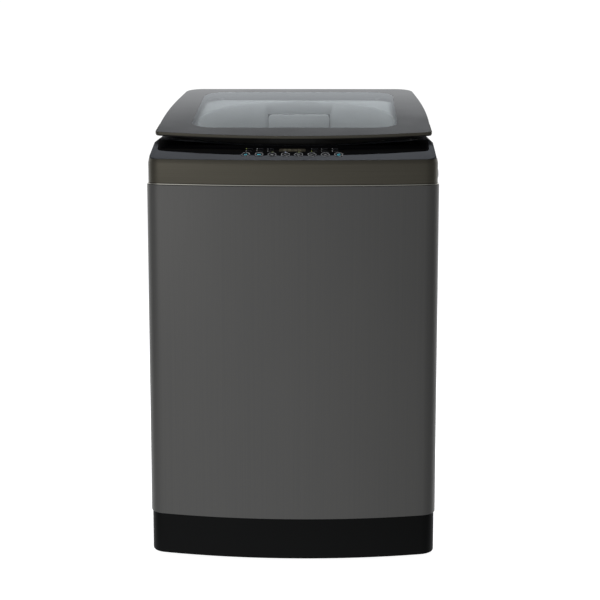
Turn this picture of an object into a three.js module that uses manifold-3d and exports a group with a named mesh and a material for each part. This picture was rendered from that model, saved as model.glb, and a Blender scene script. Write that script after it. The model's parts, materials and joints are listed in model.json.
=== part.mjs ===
// Top load washing machine: bow-fronted cabinet, sloping glass lid, suspended tub with belt drive.
// Millimetres, +Z up. X is across, -Y is the front, and the origin is under the middle on the floor.
import * as THREE from 'three';
import { mergeVertices } from 'three/addons/utils/BufferGeometryUtils.js';
import Module from 'manifold-3d';

const wasm = await Module();
wasm.setup();

// Driving dimensions of the casing
const WIDTH = 630;
const FRONT_Y = -330;
const REAR_Y = 322;
const FITTINGS_Y = 330;
const BOW = 44;
const CORNER_R = 42;
const REAR_R = 14;
const HALF_W = WIDTH / 2;
const BOW_R = (HALF_W ** 2 + BOW ** 2) / (2 * BOW);
const BOW_CY = FRONT_Y + BOW_R;
const BOW_STEP = THREE.MathUtils.degToRad(3);
const GAP = 0.3;

// Heights
const SKIRT_Z = 12;
const BASE_TOP = 102;
const CABINET_TOP = 829;
const STRIP_TOP = 832;
const BAND_TOP = 884;
const BEVEL_TOP = 886;
const SHEET = 1;
const FLANGE = 2;

// Front ramp that carries the controls, and the plane that the lid closes over
const RAMP_IN = 6;
const RAMP_END = 66;
const RIM_Z = 910.5;
const RAMP_ANGLE = Math.atan2(RIM_Z - BEVEL_TOP, RAMP_END - RAMP_IN);
const LID_SLOPE = THREE.MathUtils.degToRad(9.2);
const RIM_Y = FRONT_Y + RAMP_END;
const COVER_WALL = 3;
const SIDE = { bandIn: 7, shoulderIn: 12, shoulderZ: 915, rimIn: 24, rimZ: 925 };
const CREST_IN = 37;

// Lid
const LID_FRONT_Y = -262;
const LID_FRONT_Z = 931.5;
const LID_LENGTH = 551;
const LID_T = 19;
const GLASS_T = 4.2;
const TRIM_T = 6.6;
const LIP = { side: 16, recede: 16, edgeT: 8.6 };
const WINDOW = { halfX: 229, front: 87, rear: 505, r: 55 };
const HINGE = { back: 14, down: 17, r: 5, x: 208, earHalf: 6.5, earTop: 7 };

// Tub, drum and drive
const TUB = { y: 8, r: 268, wall: 3, floor: 290, top: 800 };
const DRUM = { r: 250, wall: 1.2, floor: 318, top: 767.7 };
const WELL_R = 226;
const ROD = { x: 262, dy: 225, r: 4.5, low: 260, lug: 340, lugT: 12, cupR: 20 };
const MOTOR = { x: 150, y: 30, r: 60 };
const PULLEY = { z: 200, t: 16, bigR: 92, smallR: 22, groove: 6 };
const PUMP = { x: -165, y: 185, r: 40, top: 110 };

// Controls
const BUTTONS = { count: 8, pitch: 28.2, r: 9.7, in: 26, long: 9 };
const PANEL = { from: 22.5, endFrom: 40, to: 90, halfX: 293, t: 2.4, endR: 13 };

// ---------------------------------------------------------------- solids

function solid(geometry) {
  const g = geometry.clone();
  g.deleteAttribute('normal');
  g.deleteAttribute('uv');
  const merged = mergeVertices(g, 1e-4);
  return new wasm.Manifold(new wasm.Mesh({
    numProp: 3,
    vertProperties: new Float32Array(merged.attributes.position.array),
    triVerts: new Uint32Array(merged.index.array),
  }));
}

function geometryOf(manifold) {
  const mesh = manifold.getMesh();
  const g = new THREE.BufferGeometry();
  g.setAttribute('position', new THREE.BufferAttribute(new Float32Array(mesh.vertProperties), 3));
  g.setIndex(new THREE.BufferAttribute(new Uint32Array(mesh.triVerts), 1));
  g.computeVertexNormals();
  return g;
}

const union = (first, ...others) => others.reduce((sum, s) => sum.add(s), first);
const cut = (body, ...tools) => tools.reduce((rest, s) => rest.subtract(s), body);

/** Box between two corners. */
function box(x0, y0, z0, x1, y1, z1) {
  const g = new THREE.BoxGeometry(x1 - x0, y1 - y0, z1 - z0);
  return solid(g.translate((x0 + x1) / 2, (y0 + y1) / 2, (z0 + z1) / 2));
}

/** Upright cylinder, or along axis 'x' or 'y' from its first end. */
function rod(x, y, z, r, length, axis = 'z', sides = 14) {
  const g = new THREE.CylinderGeometry(r, r, length, sides).translate(0, length / 2, 0);
  if (axis === 'z') g.rotateX(Math.PI / 2);
  if (axis === 'x') g.rotateZ(-Math.PI / 2);
  return solid(g.translate(x, y, z));
}

/** Ring or disc turned about an upright axis; profile is [radius, z] pairs. */
function turned(x, y, profile, sides = 36) {
  const closed = profile[0][0] > 0 ? [...profile, profile[0]] : profile;
  const g = new THREE.LatheGeometry(closed.map(([r, z]) => new THREE.Vector2(r, z)), sides);
  return facingOut(solid(g.rotateX(Math.PI / 2).translate(x, y, 0)));
}

/** Rectangular ring of revolution. */
function ring(x, y, r0, r1, z0, z1, sides = 36) {
  return turned(x, y, [[r0, z0], [r1, z0], [r1, z1], [r0, z1]], sides);
}

/** A profile drawn the other way round gives an inside-out solid, so its faces are turned over. */
function facingOut(s) {
  if (s.volume() > 0) return s;
  const mesh = s.getMesh();
  const tri = new Uint32Array(mesh.triVerts);
  for (let i = 0; i < tri.length; i += 3) [tri[i], tri[i + 1]] = [tri[i + 1], tri[i]];
  return new wasm.Manifold(new wasm.Mesh({
    numProp: 3, vertProperties: mesh.vertProperties, triVerts: tri,
  }));
}

function extruded(points, z0, z1) {
  const g = new THREE.ExtrudeGeometry(new THREE.Shape(points), { depth: z1 - z0, bevelEnabled: false });
  return solid(g.translate(0, 0, z0));
}

// ---------------------------------------------------------------- outlines

function arc(cx, cy, r, from, to, steps) {
  return Array.from({ length: steps + 1 }, (_, i) => {
    const a = from + ((to - from) * i) / steps;
    return new THREE.Vector2(cx + r * Math.cos(a), cy + r * Math.sin(a));
  });
}

/** Points along the bow at whole steps of angle, left to right, inside the limit angle. */
function bowPoints(r, limit) {
  const n = Math.floor((limit - 1e-3) / BOW_STEP);
  return Array.from({ length: 2 * n + 1 }, (_, i) => {
    const a = (i - n) * BOW_STEP;
    return new THREE.Vector2(r * Math.sin(a), BOW_CY - r * Math.cos(a));
  });
}

/** Plan of the casing, moved in by inset all round: bow front, round corners, straight sides. */
function casingPlan(inset) {
  const w = HALF_W - inset;
  const r = Math.max(CORNER_R - inset, 2);
  const R = BOW_R - inset;
  const rear = REAR_Y - inset;
  const rr = Math.max(REAR_R - inset, 1);
  const fy = BOW_CY - Math.sqrt((R - r) ** 2 - (w - r) ** 2);
  const tangent = Math.asin((w - r) / (R - r));
  const half = Math.PI / 2;
  return [
    ...bowPoints(R, tangent),
    ...arc(w - r, fy, r, -half + tangent, 0, 5),
    ...arc(w - rr, rear - rr, rr, 0, half, 2),
    ...arc(-w + rr, rear - rr, rr, half, Math.PI, 2),
    ...arc(-w + r, fy, r, Math.PI, Math.PI + half - tangent, 5),
  ];
}

const casing = (inset, z0, z1) => extruded(casingPlan(inset), z0, z1);
const casingRing = (outer, inner, z0, z1) => cut(casing(outer, z0, z1), casing(inner, z0 - 1, z1 + 1));

function roundRect(x0, y0, x1, y1, r, steps = 4) {
  const half = Math.PI / 2;
  return [
    ...arc(x1 - r, y0 + r, r, -half, 0, steps),
    ...arc(x1 - r, y1 - r, r, 0, half, steps),
    ...arc(x0 + r, y1 - r, r, half, 2 * half, steps),
    ...arc(x0 + r, y0 + r, r, 2 * half, 3 * half, steps),
  ];
}

/** Plan of the lid in its own plane: y runs up the slope from the middle of its front edge. */
function lidPlan(inset) {
  const front = BOW_R - RAMP_END - 2 - inset;
  const corner = 14;
  const halfFront = 301 - inset;
  const bulge = 4;
  const halfRear = 282 - inset;
  const rearR = 40;
  const length = LID_LENGTH - inset;
  const cy = BOW_R - RAMP_END - 2;
  const limit = Math.asin((halfFront - corner) / front);
  const edge = bowPoints(front, limit).map((p) => new THREE.Vector2(p.x, p.y - BOW_CY + cy));
  const cornerY = cy - Math.sqrt((front - corner) ** 2 - (halfFront - corner) ** 2);
  const turn = arc(halfFront - corner, cornerY, corner, -Math.PI / 2 + limit, 0, 4);
  const side = Array.from({ length: 5 }, (_, i) => {
    const t = (i + 1) / 6;
    const y = cornerY + (length - rearR - cornerY) * t;
    return new THREE.Vector2(halfFront + (halfRear - halfFront) * t * t + bulge * Math.sin(Math.PI * t), y);
  });
  const rear = arc(halfRear - rearR, length - rearR, rearR, 0.1, Math.PI / 2, 5);
  const right = [...turn, ...side, ...rear];
  const left = right.map((p) => new THREE.Vector2(-p.x, p.y)).reverse();
  return [...edge, ...right, ...left];
}

// ---------------------------------------------------------------- scene

const machine = new THREE.Group();
const lidFrame = new THREE.Group();
lidFrame.position.set(0, LID_FRONT_Y, LID_FRONT_Z);
lidFrame.rotation.x = LID_SLOPE;
machine.add(lidFrame);

const FINISH = {
  cabinet: { color: 0x4e5051, roughness: 0.42, metalness: 0.7 },
  bronze: { color: 0x4a443a, roughness: 0.35, metalness: 0.8 },
  chrome: { color: 0xb9b6ab, roughness: 0.15, metalness: 1 },
  black: { color: 0x17171a, roughness: 0.5, metalness: 0 },
  gloss: { color: 0x0a0a0b, roughness: 0.12, metalness: 0 },
  grey: { color: 0x55585c, roughness: 0.45, metalness: 0 },
  light: { color: 0x9a9ea3, roughness: 0.45, metalness: 0 },
  glass: { color: 0x3c4048, roughness: 0.08, metalness: 0 },
  steel: { color: 0x9ea1a4, roughness: 0.3, metalness: 1 },
  alloy: { color: 0x85878a, roughness: 0.5, metalness: 1 },
  rubber: { color: 0x1c1c1d, roughness: 0.9, metalness: 0 },
  board: { color: 0x2c5a36, roughness: 0.6, metalness: 0 },
};

function add(name, manifold, finish, parent = machine) {
  const mesh = new THREE.Mesh(geometryOf(manifold), new THREE.MeshStandardMaterial(FINISH[finish]));
  mesh.name = name;
  parent.add(mesh);
  return mesh;
}

const CORNERS = [
  ['front_left', -1, -1], ['front_right', 1, -1], ['rear_left', -1, 1], ['rear_right', 1, 1],
];
const SIDES = [['left', -1], ['right', 1]];

// ---------------------------------------------------------------- base and feet

const FOOT = { x: 252, frontY: -212, rearY: 262, padR: 24, padT: 8, stemR: 6, top: 44 };
const footY = (end) => (end < 0 ? FOOT.frontY : FOOT.rearY);
const DRAIN = { z: 62, r: 14, bore: 11 };

function baseSkirt() {
  const wall = 4;
  const floorHoleR = 190;
  const shell = cut(
    casing(2.5, SKIRT_Z, BASE_TOP),
    casing(2.5 + wall, SKIRT_Z + wall, BASE_TOP + 1),
    rod(0, TUB.y, SKIRT_Z - 1, floorHoleR, 3 * wall, 'z', 36),
    rod(PUMP.x, REAR_Y - 20, DRAIN.z, DRAIN.r + 1, 30, 'y'),
  );
  const holes = CORNERS.map(([, sx, sy]) => rod(sx * FOOT.x, footY(sy), SKIRT_Z - 1, FOOT.stemR + 0.6, 8));
  return cut(shell, ...holes);
}
add('base_skirt', baseSkirt(), 'black');

for (const [corner, sx, sy] of CORNERS) {
  const { padR, padT, stemR, top } = FOOT;
  const nutR = 10;
  const profile = [
    [0, 0], [padR, 0], [padR, padT * 0.6], [padR - 4, padT], [nutR, padT],
    [nutR, SKIRT_Z - GAP], [stemR, SKIRT_Z - GAP], [stemR, top], [0, top],
  ];
  add(`foot_${corner}`, turned(sx * FOOT.x, footY(sy), profile, 14), 'rubber');
}

// ---------------------------------------------------------------- cabinet

const SERVICE = { x: 205, z0: 170, z1: 640 };

function cabinet() {
  const bottom = BASE_TOP + GAP;
  const walls = casingRing(0, SHEET, bottom, CABINET_TOP);
  const flange = cut(
    casing(SHEET / 2, CABINET_TOP - FLANGE, CABINET_TOP),
    rod(0, TUB.y, CABINET_TOP - 10, 298, 20, 'z', 48),
  );
  const service = box(-SERVICE.x, REAR_Y - 5, SERVICE.z0, SERVICE.x, REAR_Y + 5, SERVICE.z1);
  const rodHoles = CORNERS.map(([, sx, sy]) => (
    rod(sx * ROD.x, TUB.y + sy * ROD.dy, CABINET_TOP - 10, ROD.r + 1.5, 20)));
  return cut(union(walls, flange), service, cordHole(), ...rodHoles);
}

const GLAND = { x: 235, z: 700, r: 11 };
function cordHole() {
  return rod(GLAND.x, REAR_Y - 5, GLAND.z, GLAND.r + GAP, 10, 'y');
}
add('cabinet', cabinet(), 'cabinet');

function backCover() {
  const lap = 18;
  const y1 = REAR_Y - SHEET - GAP;
  const plate = box(-SERVICE.x - lap, y1 - 1.5, SERVICE.z0 - lap, SERVICE.x + lap, y1, SERVICE.z1 + lap);
  const ribs = Array.from({ length: 5 }, (_, i) => {
    const z = SERVICE.z0 + 75 + i * 80;
    return box(-SERVICE.x + 30, y1 - 1, z - 9, SERVICE.x - 30, REAR_Y - 1, z + 9);
  });
  return union(plate, ...ribs);
}
add('back_cover', backCover(), 'alloy');

function cordGland() {
  const { x, z, r } = GLAND;
  return cut(
    union(rod(x, REAR_Y + GAP, z, r + 5, 3, 'y'), rod(x, REAR_Y - 14, z, r, 19, 'y'),
      rod(x, REAR_Y + 2, z, r - 2, FITTINGS_Y - REAR_Y - 2, 'y')),
    rod(x, REAR_Y - 20, z, 5, 40, 'y'),
  );
}
add('cord_gland', cordGland(), 'rubber');

// ---------------------------------------------------------------- top cover, band and strip

/** Everything under the sloping rim plane, lowered by drop; it stops at the hinge trough. */
function underRim(drop) {
  const reach = 700;
  const g = new THREE.BoxGeometry(800, 2 * reach, 400).translate(0, 0, -200);
  g.rotateX(LID_SLOPE).translate(0, RIM_Y, RIM_Z - drop);
  return solid(g);
}

/** Everything behind the bow-shaped ramp that carries the controls, lowered by drop. */
function behindRamp(drop, from = BAND_TOP - 60) {
  const R = BOW_R;
  const onward = 60;
  const profile = [
    [0, from], [R - COVER_WALL, from], [R - COVER_WALL, BAND_TOP - drop],
    [R - RAMP_IN, BEVEL_TOP - drop], [R - RAMP_END, RIM_Z - drop],
    [R - RAMP_END - onward, RIM_Z - drop + onward * Math.tan(RAMP_ANGLE)], [0, RIM_Z - drop + 400],
  ];
  return turned(0, BOW_CY, profile, Math.round((2 * Math.PI) / BOW_STEP));
}

const TROUGH = { y0: 246, y1: 298, x: 273, floor: 978 };
const REAR_BOX = { y0: 298, z: 1012 };
const INLET = { x: 160, halfX: 58, y0: 296, z0: 905, z1: 958, spigots: [130, 190], spigotZ: 932 };
const DRAWER = { halfX: 75, z0: 900, z1: 958, frontY: 216, plate: 4 };

const LOCK = { x: 262, y: -196, boltR: 4, z0: 880, z1: 913.5, boltZ: 872, boltTop: 920 };
const lockBore = (z, r, length) => rod(LOCK.x, LOCK.y, z, r, length, 'z', 12);

/** Direction out of the control ramp at sideways distance x, and the point on it. */
function onRamp(x, inside, lift = 0) {
  const a = Math.asin(x / (BOW_R - inside));
  const out = new THREE.Vector3(
    Math.sin(a) * Math.sin(RAMP_ANGLE), -Math.cos(a) * Math.sin(RAMP_ANGLE), Math.cos(RAMP_ANGLE));
  const z = BEVEL_TOP + (inside - RAMP_IN) * Math.tan(RAMP_ANGLE);
  const at = new THREE.Vector3(x, BOW_CY - (BOW_R - inside) * Math.cos(a), z);
  return { out, at: at.addScaledVector(out, lift) };
}

function rampRod(x, inside, r, down, up, sides = 16) {
  const { out, at } = onRamp(x, inside);
  const g = new THREE.CylinderGeometry(r, r, down + up, sides).translate(0, (up - down) / 2, 0);
  g.applyQuaternion(new THREE.Quaternion().setFromUnitVectors(new THREE.Vector3(0, 1, 0), out));
  return solid(g.translate(at.x, at.y, at.z));
}
const buttonX = (i) => (i - (BUTTONS.count - 1) / 2) * BUTTONS.pitch;

/** Space between the cover's sides, which lean in a little, round a shoulder and rise to the crest. */
function betweenSides(grow) {
  const w = HALF_W - grow;
  const right = [
    [w, 780], [w, STRIP_TOP], [w - SIDE.bandIn, BAND_TOP], [w - SIDE.shoulderIn, SIDE.shoulderZ],
    [w - SIDE.rimIn, SIDE.rimZ], [w - CREST_IN, REAR_BOX.z + 1],
  ];
  const left = right.map(([x, z]) => [-x, z]).reverse();
  const outline = [...right, ...left].map(([x, z]) => new THREE.Vector2(x, z));
  const g = new THREE.ExtrudeGeometry(new THREE.Shape(outline), { depth: 800, bevelEnabled: false });
  return solid(g.translate(0, 0, -400).rotateX(Math.PI / 2));
}

function coverBlock(inset, drop, from) {
  const shelf = BAND_TOP + GAP + drop;
  const lower = casing(inset + COVER_WALL, STRIP_TOP - 2.5 - drop, shelf);
  const upper = casing(inset, shelf, REAR_BOX.z - drop);
  const front = union(lower, upper).intersect(behindRamp(drop, from)).intersect(underRim(drop));
  const rear = union(lower, upper).intersect(
    box(-HALF_W, REAR_BOX.y0 + drop, 800, HALF_W, REAR_Y + 1, REAR_BOX.z - drop));
  const trough = box(-TROUGH.x - drop, TROUGH.y0 - drop, TROUGH.floor - drop,
    TROUGH.x + drop, TROUGH.y1 + drop, REAR_BOX.z + 1);
  return cut(union(front, rear).intersect(betweenSides(inset - COVER_WALL)), trough);
}

/** Recess in the rear wall for the hose couplings, grown by wall. */
function inletRecess(wall) {
  const { x, halfX, y0, z0, z1 } = INLET;
  return box(x - halfX - wall, y0 - wall, z0 - wall, x + halfX + wall, REAR_Y + 1, z1 + wall);
}

function topCover() {
  const outer = coverBlock(COVER_WALL, 0);
  const hollow = coverBlock(2 * COVER_WALL, COVER_WALL, STRIP_TOP - 20);
  const inletWall = inletRecess(COVER_WALL);
  const shell = cut(outer, cut(hollow, inletWall));
  const spigotHoles = INLET.spigots.map((x) => rod(x, INLET.y0 - 10, INLET.spigotZ, 12, 20, 'y', 16));
  const panelSeat = panelBand(GAP, PANEL.to + GAP, PANEL.t + GAP, 5);
  const buttonHoles = Array.from({ length: BUTTONS.count }, (_, i) => (
    rampRod(buttonX(i), BUTTONS.in, BUTTONS.r + GAP, 12, 5)));
  return cut(
    shell,
    rod(0, TUB.y, STRIP_TOP - 20, WELL_R + COVER_WALL + GAP, 320, 'z', 48),
    inletRecess(0),
    panelSeat, lockBore(800, LOCK.boltR + 1, 200), ...spigotHoles, ...buttonHoles,
  );
}

/**
 * A slab on the ramp, grown at its edge, from depth down to lift above. Its front edge bows more
 * than the cover's, so it draws back towards its round ends.
 */
function panelBand(grow, to, down, up) {
  const low = PANEL.from - 6;
  const rise = (inside) => BEVEL_TOP + (inside - RAMP_IN) * Math.tan(RAMP_ANGLE);
  const R = BOW_R;
  const slab = turned(0, BOW_CY, [
    [R - low, rise(low) - down], [R - low, rise(low) + up],
    [R - to, rise(to) + up], [R - to, rise(to) - down],
  ], Math.round((2 * Math.PI) / BOW_STEP));
  const endY = BOW_CY - Math.sqrt((R - PANEL.endFrom) ** 2 - PANEL.halfX ** 2);
  const sag = endY - FRONT_Y - PANEL.from;
  const bowR = (PANEL.halfX ** 2 + sag ** 2) / (2 * sag);
  const cy = FRONT_Y + PANEL.from + bowR;
  const front = bowR + grow;
  const halfX = PANEL.halfX + grow;
  const r = PANEL.endR + grow;
  const lean = Math.asin((halfX - r) / (front - r));
  const y = cy - Math.sqrt((front - r) ** 2 - (halfX - r) ** 2);
  const back = FRONT_Y + 150;
  const plan = [
    ...arc(0, cy, front, -Math.PI / 2 - lean, -Math.PI / 2 + lean, 20).slice(1, -1),
    ...arc(halfX - r, y, r, lean - Math.PI / 2, 0, 4),
    new THREE.Vector2(halfX, back), new THREE.Vector2(-halfX, back),
    ...arc(-halfX + r, y, r, Math.PI, 1.5 * Math.PI - lean, 4),
  ];
  return slab.intersect(extruded(plan, 800, 1000));
}

add('top_cover', topCover(), 'grey');

/** Wall of the loading well, from the tub's mouth up to the rim plane, with the drawer's doorway. */
function wellLiner() {
  const wall = cut(
    rod(0, TUB.y, STRIP_TOP - 2, WELL_R + COVER_WALL, 300, 'z', 48),
    rod(0, TUB.y, STRIP_TOP - 20, WELL_R, 320, 'z', 48),
  );
  const doorway = box(-DRAWER.halfX - 1, TUB.y + 150, DRAWER.z0 - 1, DRAWER.halfX + 1, 245, DRAWER.z1 + 1);
  return cut(wall, doorway).intersect(underRim(0));
}
add('well_liner', wellLiner(), 'light');

const openBehind = (s) => cut(s, box(-HALF_W, REAR_Y - 30, 0, HALF_W, REAR_Y + 5, 1100));
add('trim_band', openBehind(casingRing(3, 5.6, STRIP_TOP + GAP, BAND_TOP)), 'bronze');
add('chrome_strip', openBehind(casingRing(1.2, 5.6, CABINET_TOP + GAP, STRIP_TOP)), 'chrome');

// ---------------------------------------------------------------- controls

function controlPanel() {
  const slab = panelBand(0, PANEL.to - GAP, PANEL.t, 0).intersect(underRim(0));
  const holes = Array.from({ length: BUTTONS.count }, (_, i) => (
    rampRod(buttonX(i), BUTTONS.in, BUTTONS.r + GAP, 12, 5)));
  return cut(slab, ...holes);
}
add('control_panel', controlPanel(), 'gloss');

const BUTTON_NAMES = ['power', 'start', 'program', 'water_level', 'wash', 'rinse', 'spin', 'delay'];
BUTTON_NAMES.forEach((label, i) => {
  add(`button_${label}`, rampRod(buttonX(i), BUTTONS.in, BUTTONS.r, BUTTONS.long, 0.8), 'gloss');
});

function controlBoard() {
  const g = new THREE.BoxGeometry(290, 34, 1.6).rotateX(RAMP_ANGLE);
  const { at } = onRamp(0, BUTTONS.in + 8, -14);
  return solid(g.translate(0, at.y, at.z));
}
add('control_board', controlBoard(), 'board');

add('lid_lock', cut(
  box(LOCK.x - 16, LOCK.y - 14, LOCK.z0, LOCK.x + 16, LOCK.y + 14, LOCK.z1),
  lockBore(LOCK.boltZ - 2, LOCK.boltR + GAP, 60),
), 'light');
add('lid_lock_bolt', lockBore(LOCK.boltZ, LOCK.boltR, LOCK.boltTop - LOCK.boltZ), 'steel');

// ---------------------------------------------------------------- water inlet and detergent drawer

function inletValve() {
  const { x: middle, y0, spigotZ } = INLET;
  const body = box(middle - 50, y0 - 40, spigotZ - 18, middle + 50, y0 - COVER_WALL - GAP, spigotZ + 18);
  const spigots = INLET.spigots.map((x) => cut(
    rod(x, y0 - 20, spigotZ, 11.6, REAR_Y - 2 - y0 + 20, 'y', 16),
    rod(x, y0, spigotZ, 8, 60, 'y', 16),
  ));
  return union(body, ...spigots);
}
const HOUSING = { halfX: 71, y0: 238, y1: 308, z0: 904, z1: 954 };

function drawerHousing() {
  const { halfX, y0, y1, z0, z1 } = HOUSING;
  return cut(
    box(-halfX, y0, z0, halfX, y1, z1),
    box(-halfX + 2, y0 - 5, z0 + 2, halfX - 2, y1 - 2, z1 - 2),
  );
}

function drawer() {
  const { halfX, z0, z1, frontY, plate } = DRAWER;
  const front = extruded(roundRect(-halfX, z0, halfX, z1, 10), 0, plate);
  const upright = new THREE.Matrix4().makeRotationX(Math.PI / 2).setPosition(0, frontY + plate, 0);
  const face = front.transform(upright.elements);
  const y1 = HOUSING.y1 - 4;
  const bx = HOUSING.halfX - 3;
  const tray = cut(
    box(-bx, frontY + plate - 1, HOUSING.z0 + 3, bx, y1, HOUSING.z1 - 4),
    box(-bx + 2, frontY + plate + 2, HOUSING.z0 + 5, bx - 2, y1 - 2, HOUSING.z1 + 5),
  );
  return union(face, tray);
}
add('inlet_valve', inletValve(), 'light');
add('drawer_housing', drawerHousing(), 'light');
add('detergent_drawer', drawer(), 'light');

// ---------------------------------------------------------------- lid

const lidSlab = (inset, z0, z1) => extruded(lidPlan(inset), z0, z1);
const AXIS_Y = LID_LENGTH - HINGE.back;
const windowHole = () => extruded(
  roundRect(-WINDOW.halfX, WINDOW.front, WINDOW.halfX, WINDOW.rear, WINDOW.r), -LID_T - 5, 5);

/** Lower part of the frame: set in at the sides, its front and underside curving up to the corners. */
function lidLip() {
  const halfX = 301 - LIP.side;
  const R = BOW_R - RAMP_END;
  const across = Array.from({ length: 13 }, (_, i) => (i / 6 - 1) * halfX);
  const rise = (x) => (x / halfX) ** 2;
  const front = across.map((x) => (
    new THREE.Vector2(x, 0.6 + R - Math.sqrt(R * R - x * x) + LIP.recede * rise(x))));
  const back = LID_LENGTH + 5;
  const plan = [...front, new THREE.Vector2(halfX, back), new THREE.Vector2(-halfX, back)];
  const under = across.map((x) => new THREE.Vector2(x, (LID_T - LIP.edgeT) * rise(x) - LID_T));
  const section = [...under, new THREE.Vector2(halfX, 0), new THREE.Vector2(-halfX, 0)];
  const g = new THREE.ExtrudeGeometry(new THREE.Shape(section), { depth: 700, bevelEnabled: false });
  const crowned = solid(g.rotateX(Math.PI / 2).translate(0, 650, 0));
  return crowned.intersect(extruded(plan, -LID_T, -TRIM_T - GAP)).intersect(lidSlab(0, -LID_T, 0));
}

function lidFrameSolid() {
  const rim = union(
    lidLip(), lidSlab(1, -LIP.edgeT, -TRIM_T - GAP), lidSlab(3.2, -TRIM_T - 1, -GLASS_T - GAP));
  const lugs = SIDES.map(([, s]) => {
    const x = s * HINGE.x;
    return box(x - 8, AXIS_Y - 9, -HINGE.down - 8, x + 8, AXIS_Y + 9, -TRIM_T - 2);
  });
  const troughGap = SIDES.map(([, s]) => {
    const x = s * HINGE.x;
    return cut(
      box(x - 22, AXIS_Y - 10, -LID_T - 9, x + 22, LID_LENGTH + 5, -TRIM_T - 0.5),
      box(x - 8, AXIS_Y - 9, -LID_T - 10, x + 8, AXIS_Y + 9, 0),
    );
  });
  const pinHoles = SIDES.map(([, s]) => rod(s * HINGE.x - 30, AXIS_Y, -HINGE.down, HINGE.r + GAP, 60, 'x'));
  const boltPocket = rod(LOCK.x, (LOCK.y - LID_FRONT_Y) / Math.cos(LID_SLOPE) - 3, -LID_T - 1, 8, 10);
  return cut(union(cut(rim, windowHole(), ...troughGap), ...lugs), ...pinHoles, boltPocket);
}
add('lid_frame', lidFrameSolid(), 'black', lidFrame);
add('lid_glass', lidSlab(2.8, -GLASS_T, 0), 'glass', lidFrame);

function lidTrim() {
  const strip = cut(lidSlab(0, -TRIM_T, 0), lidSlab(2.5, -TRIM_T - 1, 1));
  return strip.intersect(box(-HALF_W, -10, -20, HALF_W, 62, 5));
}
add('lid_trim', lidTrim(), 'bronze', lidFrame);

for (const [side, s] of SIDES) {
  const x = s * HINGE.x;
  add(`hinge_pin_${side}`, rod(x - 20, AXIS_Y, -HINGE.down, HINGE.r, 40, 'x'), 'steel', lidFrame);
}

function hingeAxis() {
  const p = new THREE.Vector3(0, AXIS_Y, -HINGE.down).applyEuler(lidFrame.rotation);
  return p.add(lidFrame.position);
}

for (const [side, s] of SIDES) {
  const axis = hingeAxis();
  const x = s * HINGE.x;
  const { earHalf } = HINGE;
  const ears = [-1, 1].map((e) => {
    const from = x + (e < 0 ? -19 : 12);
    return box(from, axis.y - earHalf, TROUGH.floor + GAP, from + 7, axis.y + earHalf, axis.z + HINGE.earTop);
  });
  const foot = box(x - 19, axis.y - 8, TROUGH.floor + GAP, x + 19, axis.y + 8, TROUGH.floor + 3);
  const bore = rod(x - 30, axis.y, axis.z, HINGE.r + GAP, 60, 'x');
  add(`hinge_bracket_${side}`, cut(union(foot, ...ears), bore), 'alloy');
}

// ---------------------------------------------------------------- suspended tub

function outerTub() {
  const { r, wall, floor, top } = TUB;
  const bore = 30;
  const shell = turned(0, TUB.y, [
    [bore, floor], [r, floor], [r, top], [r - wall, top], [r - wall, floor + 5], [bore, floor + 5],
  ], 48);
  const lugs = CORNERS.map(([, sx, sy]) => {
    const angle = Math.atan2(sy * ROD.dy, sx * ROD.x);
    const far = Math.hypot(ROD.x, ROD.dy) + 20;
    const g = new THREE.BoxGeometry(far - r + wall, 50, ROD.lugT);
    g.translate((far + r - wall) / 2, 0, ROD.lug + ROD.lugT / 2).rotateZ(angle).translate(0, TUB.y, 0);
    return cut(solid(g), rod(sx * ROD.x, TUB.y + sy * ROD.dy, ROD.lug - 5, ROD.r + 1.5, 30));
  });
  const sump = rod(PUMP.x, PUMP.y, floor - 5, 14, 20);
  return cut(union(shell, ...lugs.map((l) => cut(l, rod(0, TUB.y, 300, r - wall / 2, 100, 'z', 48)))), sump);
}
add('outer_tub', outerTub(), 'light');
add('tub_ring', turned(0, TUB.y, [
  [232, TUB.top + GAP], [TUB.r + 4, TUB.top + GAP], [TUB.r + 4, 806], [244, 812], [232, 812],
], 48), 'light');

add('bearing_housing', turned(0, TUB.y, [
  [22.5, 236], [44, 236], [50, 262], [84, 270], [84, TUB.floor - GAP], [22.5, TUB.floor - GAP],
], 24), 'alloy');

function motor() {
  return union(
    rod(MOTOR.x, MOTOR.y, 224, MOTOR.r, 56, 'z', 28),
    rod(MOTOR.x, MOTOR.y, 219, 16, 8),
    rod(MOTOR.x + 42, MOTOR.y, 275, 8, TUB.floor - GAP - 275),
    rod(MOTOR.x - 42, MOTOR.y, 275, 8, TUB.floor - GAP - 275),
  );
}
add('motor', motor(), 'alloy');

function grooved(x, y, r, bore) {
  const { z, t, groove } = PULLEY;
  const profile = [
    [bore, z], [r, z], [r, z + 3], [r - groove, z + 3], [r - groove, z + t - 3],
    [r, z + t - 3], [r, z + t], [bore, z + t],
  ];
  return turned(x, y, profile, r > 50 ? 36 : 20);
}
const motorShaft = rod(MOTOR.x, MOTOR.y, PULLEY.z - 4, 6, 22);
add('motor_pulley', union(grooved(MOTOR.x, MOTOR.y, PULLEY.smallR, 0), motorShaft), 'alloy');

/** Open outline of the belt round both pulleys at radii big and small. */
function beltPlan(extra) {
  const big = PULLEY.bigR - PULLEY.groove + GAP + extra;
  const small = PULLEY.smallR - PULLEY.groove + GAP + extra;
  const dx = MOTOR.x;
  const dy = MOTOR.y - TUB.y;
  const heading = Math.atan2(dy, dx);
  const lean = Math.acos((big - small) / Math.hypot(dx, dy));
  return [
    ...arc(0, TUB.y, big, heading + lean, heading + 2 * Math.PI - lean, 30),
    ...arc(MOTOR.x, MOTOR.y, small, heading - lean, heading + lean, 10),
  ];
}
add('drive_belt', cut(
  extruded(beltPlan(5), PULLEY.z + 3.5, PULLEY.z + PULLEY.t - 3.5),
  extruded(beltPlan(0), PULLEY.z, PULLEY.z + PULLEY.t),
), 'rubber');

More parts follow.
